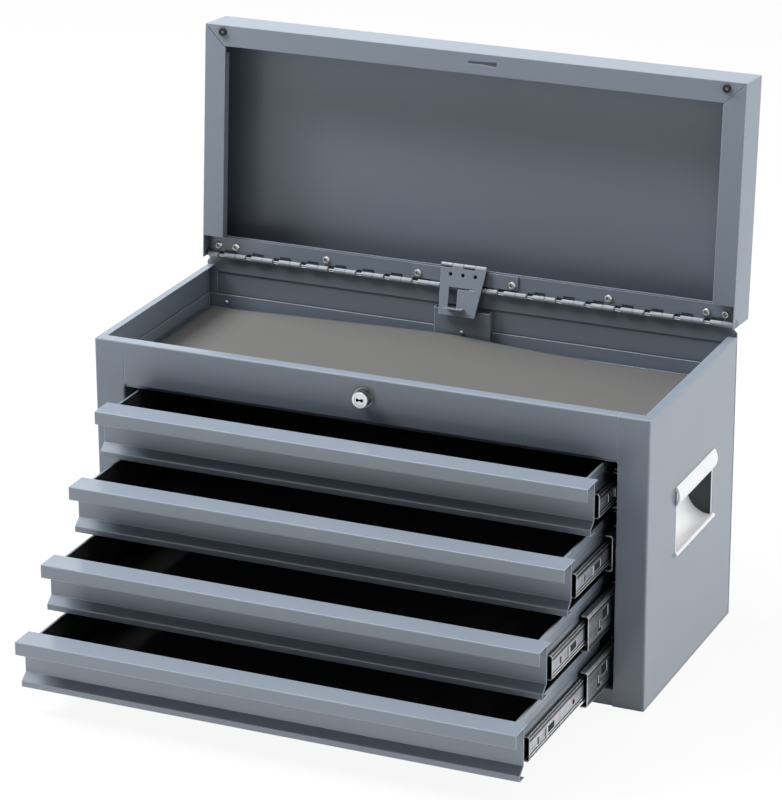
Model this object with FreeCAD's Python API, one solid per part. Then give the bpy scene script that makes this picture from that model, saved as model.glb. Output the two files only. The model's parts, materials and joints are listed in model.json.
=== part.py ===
import FreeCAD, Part
import math
import os

# Top tool chest of folded sheet steel: a case with an open tray, four drawers on ball slides,
# a lid on a piano hinge with a hanging lock plate, a cam lock and two recessed side handles.
# Origin at the middle of the base, X to the right, Y to the back, Z up, millimetres.

Vector = FreeCAD.Vector

# Case
case_width = 600.0
case_depth = 260.0
case_height = 307.0
sheet = 1.0
bend = 1.0
edge_round = 1.6
stile_width = 33.0
stile_return = 20.0
rail_height = 18.0
rail_lip = 10.0
header_height = 46.0
header_top_flange = 12.0
header_hem = 10.0
header_tab_reach = 13.0
header_tab_margin = 4.0
side_top_flange = 9.0
side_bottom_flange = 15.0
side_rear_flange = 12.0
back_corner = 6.0
seam = 0.2
overrun = 2.0
clearance = 0.4

# Tray under the lid
tray_drop = 48.5
tray_wall = 16.5
mat_thickness = 3.0
mat_side_gap = 7.0
mat_front_gap = 4.0
mat_rear_gap = 4.0
mat_hump = 7.5
mat_hump_half_width = 120.0
mat_hump_depth = 75.0
hump_top_share = 0.3

# Drawers, from the top one down
drawer_count = 4
drawer_gap = 7.1
drawer_bottom_gap = 7.3
drawer_top_gap = 4.0
drawer_side_gap = 3.25
drawer_pulls = [71.0, 129.5, 191.5, 248.0]
lip_depth = 19.0
lip_face = 13.8
flare_reach = 9.0
flare_drop = 7.0
foot_face = 6.3
foot_return = 11.0
lip_tail = 9.0
drawer_back_gap = 10.0
drawer_floor_rise = 3.5
drawer_back_drop = 9.0
drawer_joggle = 1.2
joggle_drop = 19.0
joggle_height = 3.0
hem_height = 7.0
hem_thickness = 1.2
drawer_mat_thickness = 2.5
drawer_mat_gap = 2.0

# Ball slides: a channel on the case, a middle member and a rail on the drawer
slide_thickness = 12.7
slide_gap = 1.0
slide_sheet = 1.1
slide_corner = 2.0
slide_rise = 16.1
channel_height = 45.0
channel_leg = 9.6
channel_rear_gap = 8.0
channel_front = 22.0
middle_height = 37.6
middle_leg = 7.8
middle_shorter = 45.0
middle_fronts = [22.0, 4.0, -59.0, -59.0]
middle_web_gap = 1.9
rail_bar_height = 26.0
rail_bar_reach = 5.6
middle_slot_setback = 26.0
middle_slot_width = 4.0
middle_slot_drop = 9.0
middle_slot_height = 13.0
middle_slot_foot = 11.0
middle_window_length = 16.0
middle_window_height = 11.0
rail_setback = 27.0
rail_hole_setback = 19.5
rail_hole_length = 5.0
rail_slot_setback = 46.0
rail_slot_length = 18.0
rail_slot_height = 8.0

# Posts that carry the slides
post_width = 25.0
post_front = 28.0
post_rear = 36.0

# Recessed side handles
handle_width = 115.0
handle_height = 75.0
handle_front = 80.0
handle_bottom = 134.0
handle_depth = 27.0
handle_wall = 1.5
handle_scoop = 25.5
handle_rim = 3.0
handle_rim_thickness = 1.0
grip_height = 21.0
grip_bulge = 3.4
grip_thickness = 2.0
bead_radius = 2.2

# Cam lock in the header
lock_drop = 20.3
lock_face_radius = 8.6
lock_reach = 10.5
lock_chamfer = 0.5
lock_flange_radius = 10.5
lock_flange = 1.0
lock_barrel_radius = 7.6
lock_barrel = 12.0
lock_flat = 6.6
plug_radius = 5.6
plug_recess = 0.3
plug_tail = 2.3
plug_tail_length = 2.6
key_slot_length = 7.8
key_slot_width = 1.7
key_slot_end = 2.7
key_slot_end_width = 3.3
key_slot_depth = 6.0
running_gap = 0.06
nut_width = 20.0
nut_thickness = 4.0
cam_thickness = 2.0
cam_length = 29.0
cam_width = 9.0
cam_rest_angle = -30.0
cam_screw_radius = 4.0
cam_screw_head = 1.8

# Piano hinge
hinge_rise = 12.5
knuckle_radius = 3.0
hinge_period = 31.0
case_knuckle = 13.0
lid_knuckle = 11.6
hinge_slot = 2.0
knuckle_sides = 10
bore_sides = 6
knuckle_gap = 0.4
pin_radius = 1.25
leaf = 1.0
leaf_gap = 0.6
leaf_case_offset = 2.3
leaf_lid_offset = 3.4
leaf_case_height = 19.5
leaf_lid_width = 19.5
leaf_end_gap = 3.0
leaf_corner = 5.0
rivet_setback = 9.5
rivet_radius = 4.2
rivet_head = 1.9
rivet_sides = 12
rivet_count = 6
rivet_inset = 31.0
rivet_end_step = 20.5

# Lid
lid_open_angle = 94.2
lid_gap = 3.0
lid_height = 49.5
lid_front_gap = 4.7
lid_side_gap = 0.5
lid_rear_reach = 2.0
lid_rim = 23.5
lid_front_rim = 22.0
lid_rim_rear_gap = 24.0
lid_rim_return = 10.0
lid_return_gap = 8.0
lid_rear_flange = 23.0
lid_stop_gap = 0.9
lid_round = 2.0
mitre_gap = 0.7
mitre_margin = 3.0
lid_slot_length = 32.0
lid_slot_shift = 16.0
lid_slot_end = 5.4
lid_slot_waist = 2.8
bumper_radius = 4.2
bumper_height = 2.6
bumper_side = 20.5
bumper_setback = 7.2

# Lock plate that hangs from the lid, its bracket and pin
bracket_width = 120.0
bracket_sheet = 1.2
bracket_front = 4.4
plate_pivot = 23.5
plate_knuckle_radius = 2.2
plate_knuckle_count = 4
plate_pin_radius = 0.9
plate_lean = 8.0
plate_sheet = 1.0
plate_width = 51.0
plate_length = 53.0
plate_taper = 9.0
plate_left_taper = 1.5
plate_hole = 2.2
plate_hole_sides = 8
plate_hole_pitch = 14.0
plate_hole_drop = 9.5
window_left = 11.0
window_top = 23.0
window_bottom = 7.5
window_width = 10.0
window_slot_end = 39.0
window_slot_height = 1.6
tab_reach = 9.0
tab_width = 19.0
knuckle_neck_gap = 0.5

# Drawer lock bar behind the drawers and its cover in the tray
cover_width = 63.0
cover_top_drop = 10.5
cover_reach = 8.0
bar_width = 16.0
bar_sheet = 1.5
bar_setback = 3.0
bar_bottom_rise = 8.0
bar_top_gap = 6.0
bar_travel = 6.0
catch_hook = 5.0
catch_gap = 2.0
catch_overlap = 3.0

half_width = case_width / 2
front_y = -case_depth / 2
back_y = case_depth / 2
opening_x = half_width - stile_width
header_bottom = case_height - header_height
tray_z = case_height - tray_drop
hinge_y = back_y - sheet - leaf_case_offset
hinge_z = case_height + hinge_rise
hinge_axis = Vector(0, hinge_y, hinge_z)
leaf_half = half_width - leaf_end_gap
slide_outer_x = opening_x - slide_gap
drawer_side_x = slide_outer_x - slide_thickness
drawer_half = opening_x - drawer_side_gap
lip_top_z = header_bottom - drawer_top_gap
drawer_stack = lip_top_z - rail_height - drawer_bottom_gap
drawer_face = (drawer_stack - (drawer_count - 1) * drawer_gap) / drawer_count
drawer_pitch = drawer_face + drawer_gap
panel_height = drawer_face - lip_face - flare_drop - foot_face
drawer_depth = case_depth - lip_depth - sheet - drawer_back_gap
channel_length = case_depth - channel_front - channel_rear_gap
middle_length = channel_length - middle_shorter
hinge_run = 2 * leaf_half - lid_knuckle
hinge_count = int(hinge_run / hinge_period)
hinge_step = hinge_run / hinge_count
plate_axis_y = hinge_y - plate_pivot
plate_axis_z = hinge_z + leaf_lid_offset - leaf - plate_knuckle_radius
plate_axis = Vector(0, plate_axis_y, plate_axis_z)
plate_knuckle_step = plate_width / plate_knuckle_count
lid_half = half_width - lid_side_gap
lid_rim_z = case_height + lid_gap
lid_rear_y = hinge_y + lid_rear_reach
lid_front_y = front_y + lid_front_gap
lock_z = case_height - lock_drop
cam_y = front_y + sheet + lock_barrel + clearance

X_AXIS = Vector(1, 0, 0)
Y_AXIS = Vector(0, 1, 0)
Z_AXIS = Vector(0, 0, 1)
PLANES = {"xy": (X_AXIS, Y_AXIS, Z_AXIS), "xz": (X_AXIS, Z_AXIS, Y_AXIS), "yz": (Y_AXIS, Z_AXIS, X_AXIS)}


def box(x0, x1, y0, y1, z0, z1):
    """Block between two corners."""
    return Part.makeBox(x1 - x0, y1 - y0, z1 - z0, Vector(x0, y0, z0))


def rod(radius, start, end):
    """Round bar from one point to another."""
    line = end.sub(start)
    return Part.makeCylinder(radius, line.Length, start, line)


def fused(first, *others):
    """One solid from pieces that are a single physical part."""
    return first.multiFuse(list(others)).removeSplitter()


def mirrored(shape):
    """Copy on the other side of the middle plane."""
    return shape.mirror(Vector(0, 0, 0), X_AXIS)


def turned(shape, pivot, degrees):
    """Copy turned about a line along X through the pivot."""
    copy = shape.copy()
    copy.rotate(pivot, X_AXIS, degrees)
    return copy


def prism(points, plane, start, length, radii=None):
    """Solid from an outline in a plane, with rounded corners, pulled along the plane's normal."""
    u_dir, v_dir, normal = PLANES[plane]
    corners = [u_dir * u + v_dir * v + normal * start for u, v in points]
    count = len(corners)
    radii = radii or [0] * count
    entries = []
    for i, corner in enumerate(corners):
        to_last = (corners[i - 1] - corner).normalize()
        to_next = (corners[(i + 1) % count] - corner).normalize()
        if not radii[i]:
            entries.append((corner, None, corner))
            continue
        half = to_last.getAngle(to_next) / 2
        inward = (to_last + to_next).normalize()
        tangent = radii[i] / math.tan(half)
        middle = corner + inward * (radii[i] / math.sin(half) - radii[i])
        entries.append((corner + to_last * tangent, middle, corner + to_next * tangent))
    edges = []
    for i, (first, middle, last) in enumerate(entries):
        if middle is not None:
            edges.append(Part.Arc(first, middle, last).toShape())
        following = entries[(i + 1) % count][0]
        edges.append(Part.makeLine(last, following))
    return Part.Face(Part.Wire(edges)).extrude(normal * length)


def folded(points, thickness, inner_radius, plane, start, length):
    """Sheet bent along a path, its thickness to the left, pulled to a length; no radius gives sharp bends."""
    path = [Vector(u, v, 0) for u, v in points]
    headings = [(b - a).normalize() for a, b in zip(path, path[1:])]
    lefts = [Vector(-h.y, h.x, 0) for h in headings]
    inner = [path[0] + lefts[0] * thickness]
    inside = inner_radius or 0
    outside = 0 if inner_radius is None else inner_radius + thickness
    near_radii = [0]
    far_radii = [0]
    for i in range(1, len(path) - 1):
        bisector = (lefts[i - 1] + lefts[i]).normalize()
        inner.append(path[i] + bisector * (thickness / bisector.dot(lefts[i])))
        left_turn = headings[i - 1].x * headings[i].y - headings[i - 1].y * headings[i].x > 0
        near_radii.append(outside if left_turn else inside)
        far_radii.append(inside if left_turn else outside)
    inner.append(path[-1] + lefts[-1] * thickness)
    near_radii.append(0)
    far_radii.append(0)
    outline = [(p.x, p.y) for p in path + inner[::-1]]
    return prism(outline, plane, start, length, near_radii + far_radii[::-1])


def edges_on(shape, test):
    """Edges whose ends and middle all pass a test."""
    found = []
    for edge in shape.Edges:
        middle = edge.valueAt((edge.FirstParameter + edge.LastParameter) / 2)
        if all(test(p) for p in [v.Point for v in edge.Vertexes] + [middle]):
            found.append(edge)
    return found


def close(a, b):
    """True where two coordinates are the same place."""
    return abs(a - b) < seam / 2


def side_panel():
    """Right side: wall, front stile with its return, and top, bottom and rear flanges."""
    wall_back = back_y - sheet
    plain = [(opening_x, front_y), (half_width, front_y), (half_width, wall_back)]
    flanged = plain + [(half_width - side_rear_flange, wall_back)]
    returned = [(opening_x, front_y + stile_return)] + flanged
    rear_top = hinge_z - leaf_case_height - clearance
    return_top = tray_z - clearance
    zones = [(flanged, 0, rail_height), (returned, rail_height, return_top),
             (flanged, return_top, rear_top), (plain, rear_top, case_height)]
    walls = [folded(path, sheet, bend, "xy", low, high - low) for path, low, high in zones]
    top = box(half_width - side_top_flange, half_width - sheet, front_y + sheet, wall_back - leaf,
              case_height - sheet, case_height)
    gusset = box(opening_x, half_width - sheet, front_y + sheet, front_y + header_top_flange,
                 case_height - sheet, case_height)
    bottom = box(half_width - side_bottom_flange, half_width - sheet, front_y + 2 * sheet + clearance,
                 wall_back - sheet, sheet, 2 * sheet)
    cut_y = front_y + handle_front
    opening = box(half_width - side_bottom_flange, half_width + overrun, cut_y + handle_rim,
                  cut_y + handle_width - handle_rim, handle_bottom + handle_rim,
                  handle_bottom + handle_height - handle_rim)
    panel = fused(*walls, top, gusset, bottom).cut(opening).removeSplitter()

    def top_outer(p):
        corner = p.x > half_width - sheet - bend - seam and p.y < front_y + sheet + bend + seam
        return close(p.z, case_height) and (close(p.y, front_y) or close(p.x, half_width) or corner)

    inner_corner = half_width - sheet - seam

    def on_corner(edge):
        return edge.BoundBox.XMax > inner_corner or edge.BoundBox.YMin < front_y + seam

    return panel.makeFillet(edge_round, [e for e in edges_on(panel, top_outer) if on_corner(e)])


def back_panel():
    """Flat back with its top corners cut off, rising behind the hinge."""
    top = hinge_z - lid_rear_reach - lid_stop_gap
    outline = [(-half_width, 0), (half_width, 0), (half_width, top - back_corner),
               (half_width - back_corner, top), (back_corner - half_width, top),
               (-half_width, top - back_corner)]
    return prism(outline, "xz", back_y - sheet, sheet)


def bottom_panel():
    """Floor of the case with the low front rail turned up and back."""
    end = back_y - 2 * sheet
    rail_y = front_y + sheet
    path = [(rail_y + rail_lip, rail_height), (rail_y, rail_height), (rail_y, 0), (end, 0)]
    inside = half_width - sheet - bend
    return folded(path, sheet, 0, "yz", -inside, 2 * inside)


def header_rail():
    """Rail over the drawers: face, top flange, bottom hem and tabs behind the stiles."""
    half = opening_x - seam
    inner = front_y + sheet
    hem = front_y + 2 * sheet
    hem_top = header_bottom + header_hem
    flange_end = front_y + header_top_flange
    outline = [(flange_end, case_height), (front_y, case_height), (front_y, header_bottom),
               (hem, header_bottom), (hem, hem_top), (inner, hem_top), (inner, case_height - sheet),
               (flange_end, case_height - sheet)]
    rail = prism(outline, "yz", -half, 2 * half, [0, edge_round, bend, 0, 0, 0, bend, 0])
    tab = box(half - header_tab_reach, opening_x + header_tab_reach, inner, hem, hem_top,
              case_height - sheet - header_tab_margin)
    hole = rod(lock_barrel_radius, Vector(0, front_y - overrun, lock_z), Vector(0, flange_end, lock_z))
    return fused(rail, tab, mirrored(tab)).cut(hole)


def tray_floor():
    """Shallow pan under the lid, with a slot for the lock bar and a gap for its cover."""
    inside = half_width - sheet - clearance
    y0 = front_y + 2 * sheet
    y1 = back_y - 2 * sheet - clearance
    outer = box(-inside, inside, y0, y1, tray_z, tray_z + tray_wall)
    hollow = box(sheet - inside, inside - sheet, y0 + sheet, y1 - sheet, tray_z + sheet, case_height)
    cover_half = cover_width / 2 + clearance
    gap = box(-cover_half, cover_half, y1 - 2 * sheet, y1 + overrun, tray_z + sheet, case_height)
    bar_y = back_y - sheet - bar_setback
    slot = box(-bar_width, bar_width, bar_y - bar_sheet - 2 * clearance, y1 + overrun,
               tray_z - overrun, tray_z + 2 * sheet)
    return outer.cut(hollow).cut(gap).cut(slot).removeSplitter()


def mat_field(corners):
    """One flat field of the mat, its thickness straight up from its corners."""
    points = [Vector(x, y, tray_z + sheet + rise) for x, y, rise in corners]
    return Part.Face(Part.makePolygon(points + points[:1])).extrude(Z_AXIS * mat_thickness)


def tray_mat():
    """Loose grey mat, the middle of its back edge riding up in front of the lock cover."""
    half = half_width - 2 * sheet - mat_side_gap
    foot = mat_hump_half_width
    crown = foot * hump_top_share
    y0 = front_y + 3 * sheet + mat_front_gap
    y1 = back_y - sheet - cover_reach - mat_rear_gap
    bend_y = y1 - mat_hump_depth
    front = mat_field([(-half, y0, 0), (half, y0, 0), (half, bend_y, 0), (-half, bend_y, 0)])
    ramp = mat_field([(-crown, bend_y, 0), (crown, bend_y, 0), (crown, y1, mat_hump), (-crown, y1, mat_hump)])
    slope = mat_field([(crown, bend_y, 0), (foot, y1, 0), (crown, y1, mat_hump)])
    flat = mat_field([(crown, bend_y, 0), (half, bend_y, 0), (half, y1, 0), (foot, y1, 0)])
    return fused(front, ramp, slope, mirrored(slope), flat, mirrored(flat))


def slide_posts():
    """Front and rear channel posts between the right side wall and the slides."""
    inside = half_width - sheet
    posts = []
    for y0 in (front_y + post_front, back_y - post_rear - post_width):
        y1 = y0 + post_width
        path = [(inside, y1), (slide_outer_x, y1), (slide_outer_x, y0), (inside, y0)]
        posts.append(folded(path, sheet, None, "xy", 2 * sheet, tray_z - 2 * sheet))
    return posts


def side_handle():
    """Right handle: a scooped cup with a bulging grip band over it and a bead along the bottom."""
    y0 = front_y + handle_front
    y1 = y0 + handle_width
    z0 = handle_bottom
    z1 = handle_bottom + handle_height
    inset = handle_rim
    outer = [(half_width, z0 + inset), (half_width, z1 - inset), (half_width - handle_depth, z1 - inset),
             (half_width - handle_depth, z0 + inset)]
    cup = prism(outer, "xz", y0 + inset, handle_width - 2 * inset, [0, 0, handle_rim, handle_scoop])
    wall = inset + handle_wall
    deep = half_width - handle_depth + handle_wall
    inner = [(half_width + overrun, z0 + wall), (half_width + overrun, z1 - wall), (deep, z1 - wall),
             (deep, z0 + wall)]
    inner_radii = [0, 0, handle_rim, handle_scoop - handle_wall]
    hollow = prism(inner, "xz", y0 + wall, handle_width - 2 * wall, inner_radii)
    low_rim = box(half_width, half_width + handle_rim_thickness, y0, y1, z0, z0 + wall)
    high_rim = box(half_width, half_width + handle_rim_thickness, y0, y1, z1 - wall, z1)
    grip_low = z1 - grip_height
    face_x = half_width + handle_rim_thickness
    high = Vector(face_x, y0, z1)
    low = Vector(face_x, y0, grip_low)
    bulge = Part.Arc(high, Vector(face_x + grip_bulge, y0, (z1 + grip_low) / 2), low).toShape()
    back_low = Vector(face_x - grip_thickness, y0, grip_low)
    back_high = Vector(face_x - grip_thickness, y0, z1)
    back = Part.Arc(back_low, Vector(face_x + grip_bulge - grip_thickness, y0, (z1 + grip_low) / 2),
                    back_high).toShape()
    grip_wire = Part.Wire([bulge, Part.makeLine(low, back_low), back, Part.makeLine(back_high, high)])
    grip = Part.Face(grip_wire).extrude(Y_AXIS * handle_width)
    bead = rod(bead_radius, Vector(face_x, y0, z0 + bead_radius), Vector(face_x, y1, z0 + bead_radius))
    opening = box(half_width - handle_depth, half_width, y0 + inset, y1 - inset, z0 + inset, z1 - inset)
    panel = box(half_width - handle_depth, half_width, y0 - overrun, y1 + overrun, z0 - overrun, z1 + overrun)
    surround = panel.cut(opening)
    shell = fused(cup, low_rim, high_rim).cut(hollow)
    return fused(shell, grip.cut(surround), bead.cut(surround))


def lock_body():
    """Fixed barrel of the lock with its flange against the header."""
    nose = rod(lock_face_radius, Vector(0, front_y, lock_z), Vector(0, front_y - lock_reach, lock_z))
    nose = nose.makeChamfer(lock_chamfer, edges_on(nose, lambda p: close(p.y, front_y - lock_reach)))
    flange = rod(lock_flange_radius, Vector(0, front_y, lock_z), Vector(0, front_y - lock_flange, lock_z))
    barrel_end = front_y + sheet + lock_barrel
    barrel = rod(lock_barrel_radius, Vector(0, front_y, lock_z), Vector(0, barrel_end, lock_z))
    for side in (-1, 1):
        flat_z = lock_z + side * (lock_flat + lock_barrel_radius)
        barrel = barrel.cut(box(-lock_barrel_radius, lock_barrel_radius, front_y + sheet,
                                barrel_end + overrun, flat_z - lock_barrel_radius,
                                flat_z + lock_barrel_radius))
    bore = rod(plug_radius + running_gap, Vector(0, front_y - lock_reach - overrun, lock_z),
               Vector(0, barrel_end + overrun, lock_z))
    return fused(nose, flange, barrel).cut(bore)


def lock_plug():
    """Turning core with the key slot and the square tail that carries the cam."""
    front = front_y - lock_reach + plug_recess
    back = front_y + sheet + lock_barrel
    core = rod(plug_radius, Vector(0, front, lock_z), Vector(0, back, lock_z))
    tail = box(-plug_tail, plug_tail, back, back + clearance + cam_thickness + plug_tail_length / 2,
               lock_z - plug_tail, lock_z + plug_tail)
    tail = turned_about_y(tail, cam_rest_angle)
    half = key_slot_length / 2
    inner = half - key_slot_end
    slots = []
    for x0, x1, width in ((-half, half, key_slot_width), (-half, -inner, key_slot_end_width),
                          (inner, half, key_slot_end_width)):
        slots.append(box(x0, x1, front - overrun, front + key_slot_depth,
                         lock_z - width / 2, lock_z + width / 2))
    return fused(core, tail).cut(fused(*slots))


def turned_about_y(shape, degrees):
    """Copy turned about the lock's axis, positive angles raising the right side."""
    copy = shape.copy()
    copy.rotate(Vector(0, 0, lock_z), Y_AXIS, -degrees)
    return copy


def lock_nut():
    """Six-sided nut behind the header."""
    radius = nut_width / 2 / math.cos(math.pi / 6)
    angles = [math.pi / 3 * i for i in range(6)]
    corners = [(radius * math.cos(a), lock_z + radius * math.sin(a)) for a in angles]
    nut = prism(corners, "xz", front_y + sheet, nut_thickness)
    y1 = front_y + sheet + nut_thickness + overrun
    body = rod(lock_barrel_radius, Vector(0, front_y, lock_z), Vector(0, y1, lock_z))
    flats = box(-nut_width, nut_width, front_y, y1, lock_z - lock_flat, lock_z + lock_flat)
    return nut.cut(body.common(flats))


def lock_cam():
    """Arm on the plug's tail that swings up into the slot of the lid."""
    half = cam_width / 2
    outline = [(-half, lock_z - half), (cam_length, lock_z - half), (cam_length, lock_z + half),
               (-half, lock_z + half)]
    arm = prism(outline, "xz", cam_y, cam_thickness, [half - clearance, half / 2, half / 2, half - clearance])
    hole = box(-plug_tail, plug_tail, cam_y - overrun, cam_y + cam_thickness + overrun,
               lock_z - plug_tail, lock_z + plug_tail)
    return turned_about_y(arm.cut(hole), cam_rest_angle)


def lock_cam_screw():
    """Screw head that holds the cam on the tail."""
    start = cam_y + cam_thickness + plug_tail_length / 2
    head = rod(cam_screw_radius, Vector(0, start, lock_z), Vector(0, start + cam_screw_head, lock_z))
    washer = rod(cam_screw_radius, Vector(0, cam_y + cam_thickness, lock_z), Vector(0, start, lock_z))
    square = turned_about_y(box(-plug_tail, plug_tail, cam_y, start, lock_z - plug_tail, lock_z + plug_tail),
                            cam_rest_angle)
    return fused(head, washer).cut(square)


def lid_spans():
    """Start and end along X of the knuckles on the lid's leaf."""
    starts = [i * hinge_step - leaf_half for i in range(hinge_count + 1)]
    return [(x, x + lid_knuckle) for x in starts]


def case_spans():
    """Start and end along X of the knuckles on the case's leaf, each close before one of the lid's."""
    ends = [x - knuckle_gap for x, _ in lid_spans()[1:]]
    return [(x - case_knuckle, x) for x in ends]


def ring(centre, radius, sides, first, last):
    """Points round a centre in the YZ plane between two angles, ends included."""
    step = (last - first) / sides
    angles = [first + i * step for i in range(sides + 1)]
    return [centre + (Y_AXIS * math.cos(a) + Z_AXIS * math.sin(a)) * radius for a in angles]


def knuckles(spans, axis, radius, bore, neck):
    """Rolled knuckles, each an eye with its neck; the neck's outline runs between the ends of the eye."""
    pieces = []
    for x0, x1 in spans:
        centre = axis + X_AXIS * x0
        first = math.atan2(neck[-1][1], neck[-1][0])
        last = math.atan2(neck[0][1], neck[0][0])
        if last < first:
            last += 2 * math.pi
        eye = ring(centre, radius, knuckle_sides, first, last)
        stem = [centre + Y_AXIS * y + Z_AXIS * z for y, z in neck[1:-1]]
        hole = ring(centre, bore / math.cos(math.pi / bore_sides), bore_sides, 0, 2 * math.pi)
        profile = Part.Face(Part.makePolygon(eye + stem + eye[:1])).cut(Part.Face(Part.makePolygon(hole)))
        pieces.append(profile.extrude(X_AXIS * (x1 - x0)))
    return pieces


def chord(radius, offset):
    """Half the width of a circle at a distance from its middle."""
    return math.sqrt(radius ** 2 - offset ** 2)


def hinge_case_leaf():
    """Leaf on the inside of the back panel, with every other knuckle."""
    y1 = back_y - sheet
    reach = knuckle_radius + leaf_gap
    top = hinge_z - reach
    low = hinge_z - leaf_case_height
    outline = [(-leaf_half + leaf_corner, low), (leaf_half - leaf_corner, low),
               (leaf_half, low + leaf_corner), (leaf_half, top), (-leaf_half, top),
               (-leaf_half, low + leaf_corner)]
    plate = prism(outline, "xz", y1 - leaf, leaf)
    outer = leaf_case_offset
    inner = leaf_case_offset - leaf
    neck = [(inner, -chord(knuckle_radius, inner)), (inner, -reach), (outer, -reach),
            (outer, -chord(knuckle_radius, outer))]
    return fused(plate, *knuckles(case_spans(), hinge_axis, knuckle_radius, pin_radius, neck))


def hinge_lid_leaf():
    """Leaf under the rear flange of the lid, drawn with the lid closed."""
    z1 = hinge_z + leaf_lid_offset
    reach = knuckle_radius + leaf_gap
    near = hinge_y - reach
    plate = box(-leaf_half, leaf_half, hinge_y - leaf_lid_width, near, z1 - leaf, z1)
    notches = [box(x0, x1, near - hinge_slot, near, z1 - leaf, z1) for x0, x1 in case_spans()]
    plate = plate.cut(Part.makeCompound(notches))
    lower = leaf_lid_offset - leaf
    neck = [(0, knuckle_radius), (0, leaf_lid_offset), (-reach, leaf_lid_offset), (-reach, lower),
            (-chord(knuckle_radius, lower), lower)]
    bore = pin_radius + running_gap
    return fused(plate, *knuckles(lid_spans(), hinge_axis, knuckle_radius, bore, neck))


def hinge_pin():
    """Full-length pin."""
    return rod(pin_radius, hinge_axis - X_AXIS * leaf_half, hinge_axis + X_AXIS * leaf_half)


def rivet_places():
    """X of every rivet along the lid leaf."""
    last = leaf_half - rivet_inset
    step = 2 * last / (rivet_count - 1)
    row = [i * step - last for i in range(rivet_count)]
    return [-last - rivet_end_step] + row + [last + rivet_end_step]


def on_bracket(x):
    """True where a rivet goes through the lock plate's bracket as well."""
    return abs(x) < bracket_width / 2


def regular(centre, radius, sides):
    """Level face with equal sides round a centre."""
    angles = [2 * math.pi * i / sides for i in range(sides)]
    points = [centre + (X_AXIS * math.cos(a) + Y_AXIS * math.sin(a)) * radius for a in angles]
    return Part.Face(Part.makePolygon(points + points[:1]))


def hinge_rivets():
    """Low rivet heads on the lid leaf, drawn with the lid closed."""
    rivets = []
    for x in rivet_places():
        z1 = hinge_z + leaf_lid_offset - leaf - (bracket_sheet if on_bracket(x) else 0)
        base = Vector(x, hinge_y - rivet_setback, z1)
        rivets.append(regular(base, rivet_radius, rivet_sides).extrude(Z_AXIS * -rivet_head))
    return rivets


def lid_shell():
    """Pressed lid, drawn closed: top, walls, inward rims and the rear hinge flange."""
    top_z = lid_rim_z + lid_height
    outer = box(-lid_half, lid_half, lid_front_y, lid_rear_y, lid_rim_z, top_z)

    def outside(p):
        return not close(p.z, lid_rim_z) and (close(p.z, top_z) or close(abs(p.x), lid_half))

    outer = outer.makeFillet(lid_round, edges_on(outer, outside))
    hollow = box(sheet - lid_half, lid_half - sheet, lid_front_y + sheet, lid_rear_y - sheet,
                 lid_rim_z - overrun, top_z - sheet)
    shell = outer.cut(hollow)
    flange_z = hinge_z + leaf_lid_offset
    below = box(sheet - lid_half, lid_half - sheet, lid_rear_y - 2 * sheet, lid_rear_y + overrun,
                lid_rim_z - overrun, flange_z)
    shell = shell.cut(below)
    flange = box(sheet - lid_half, lid_half - sheet, lid_rear_y - lid_rear_flange, lid_rear_y - sheet,
                 flange_z, flange_z + sheet)
    rim_end = lid_rear_y - lid_rim_rear_gap
    rim_x = lid_half - lid_rim
    rim_front = lid_front_y + lid_front_rim
    flat = box(rim_x, lid_half - sheet, lid_front_y + sheet, rim_end, lid_rim_z, lid_rim_z + sheet)
    turn = box(rim_x, rim_x + sheet, rim_front + lid_return_gap, rim_end,
               lid_rim_z, lid_rim_z + lid_rim_return)
    side_rim = fused(flat, turn)
    front_rim = box(sheet - lid_half, lid_half - sheet, lid_front_y + sheet, rim_front,
                    lid_rim_z, lid_rim_z + sheet)
    shell = fused(shell, flange, side_rim, mirrored(side_rim), front_rim)
    half_gap = mitre_gap / 2
    corner = lid_half - mitre_margin
    inner = rim_x - overrun
    run = corner - inner
    y_corner = lid_front_y + mitre_margin
    mitre = prism([(corner - half_gap, y_corner), (corner + half_gap, y_corner + half_gap),
                   (inner + half_gap, y_corner + run + half_gap), (inner - half_gap, y_corner + run)],
                  "xy", lid_rim_z - overrun, overrun + 2 * sheet)
    slot_y = cam_y + cam_thickness / 2
    x0 = lid_slot_shift - lid_slot_length / 2
    x1 = lid_slot_shift + lid_slot_length / 2
    wide = lid_slot_end / 2
    slim = lid_slot_waist / 2
    slot = prism([(x0, slot_y - slim), (lid_slot_shift, slot_y - slim), (x1, slot_y - wide),
                  (x1, slot_y + wide), (lid_slot_shift, slot_y + slim), (x0, slot_y + slim)],
                 "xy", lid_rim_z - overrun, overrun + 2 * sheet)
    return shell.cut(mitre).cut(mirrored(mitre)).cut(slot).removeSplitter()


def lid_bumpers():
    """Two rubber buffers under the front corners of the lid rim."""
    buffers = []
    for side in (-1, 1):
        centre = Vector(side * (lid_half - bumper_side), lid_front_y + bumper_setback, lid_rim_z)
        buffers.append(regular(centre, bumper_radius, rivet_sides).extrude(Z_AXIS * -bumper_height))
    return buffers


def plate_spans(owner):
    """Knuckles along the top of the lock plate that belong to the bracket or the plate."""
    spans = []
    for i in range(owner, plate_knuckle_count, 2):
        x0 = i * plate_knuckle_step - plate_width / 2
        spans.append((x0 + knuckle_gap / 2, x0 + plate_knuckle_step - knuckle_gap / 2))
    return spans


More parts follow.
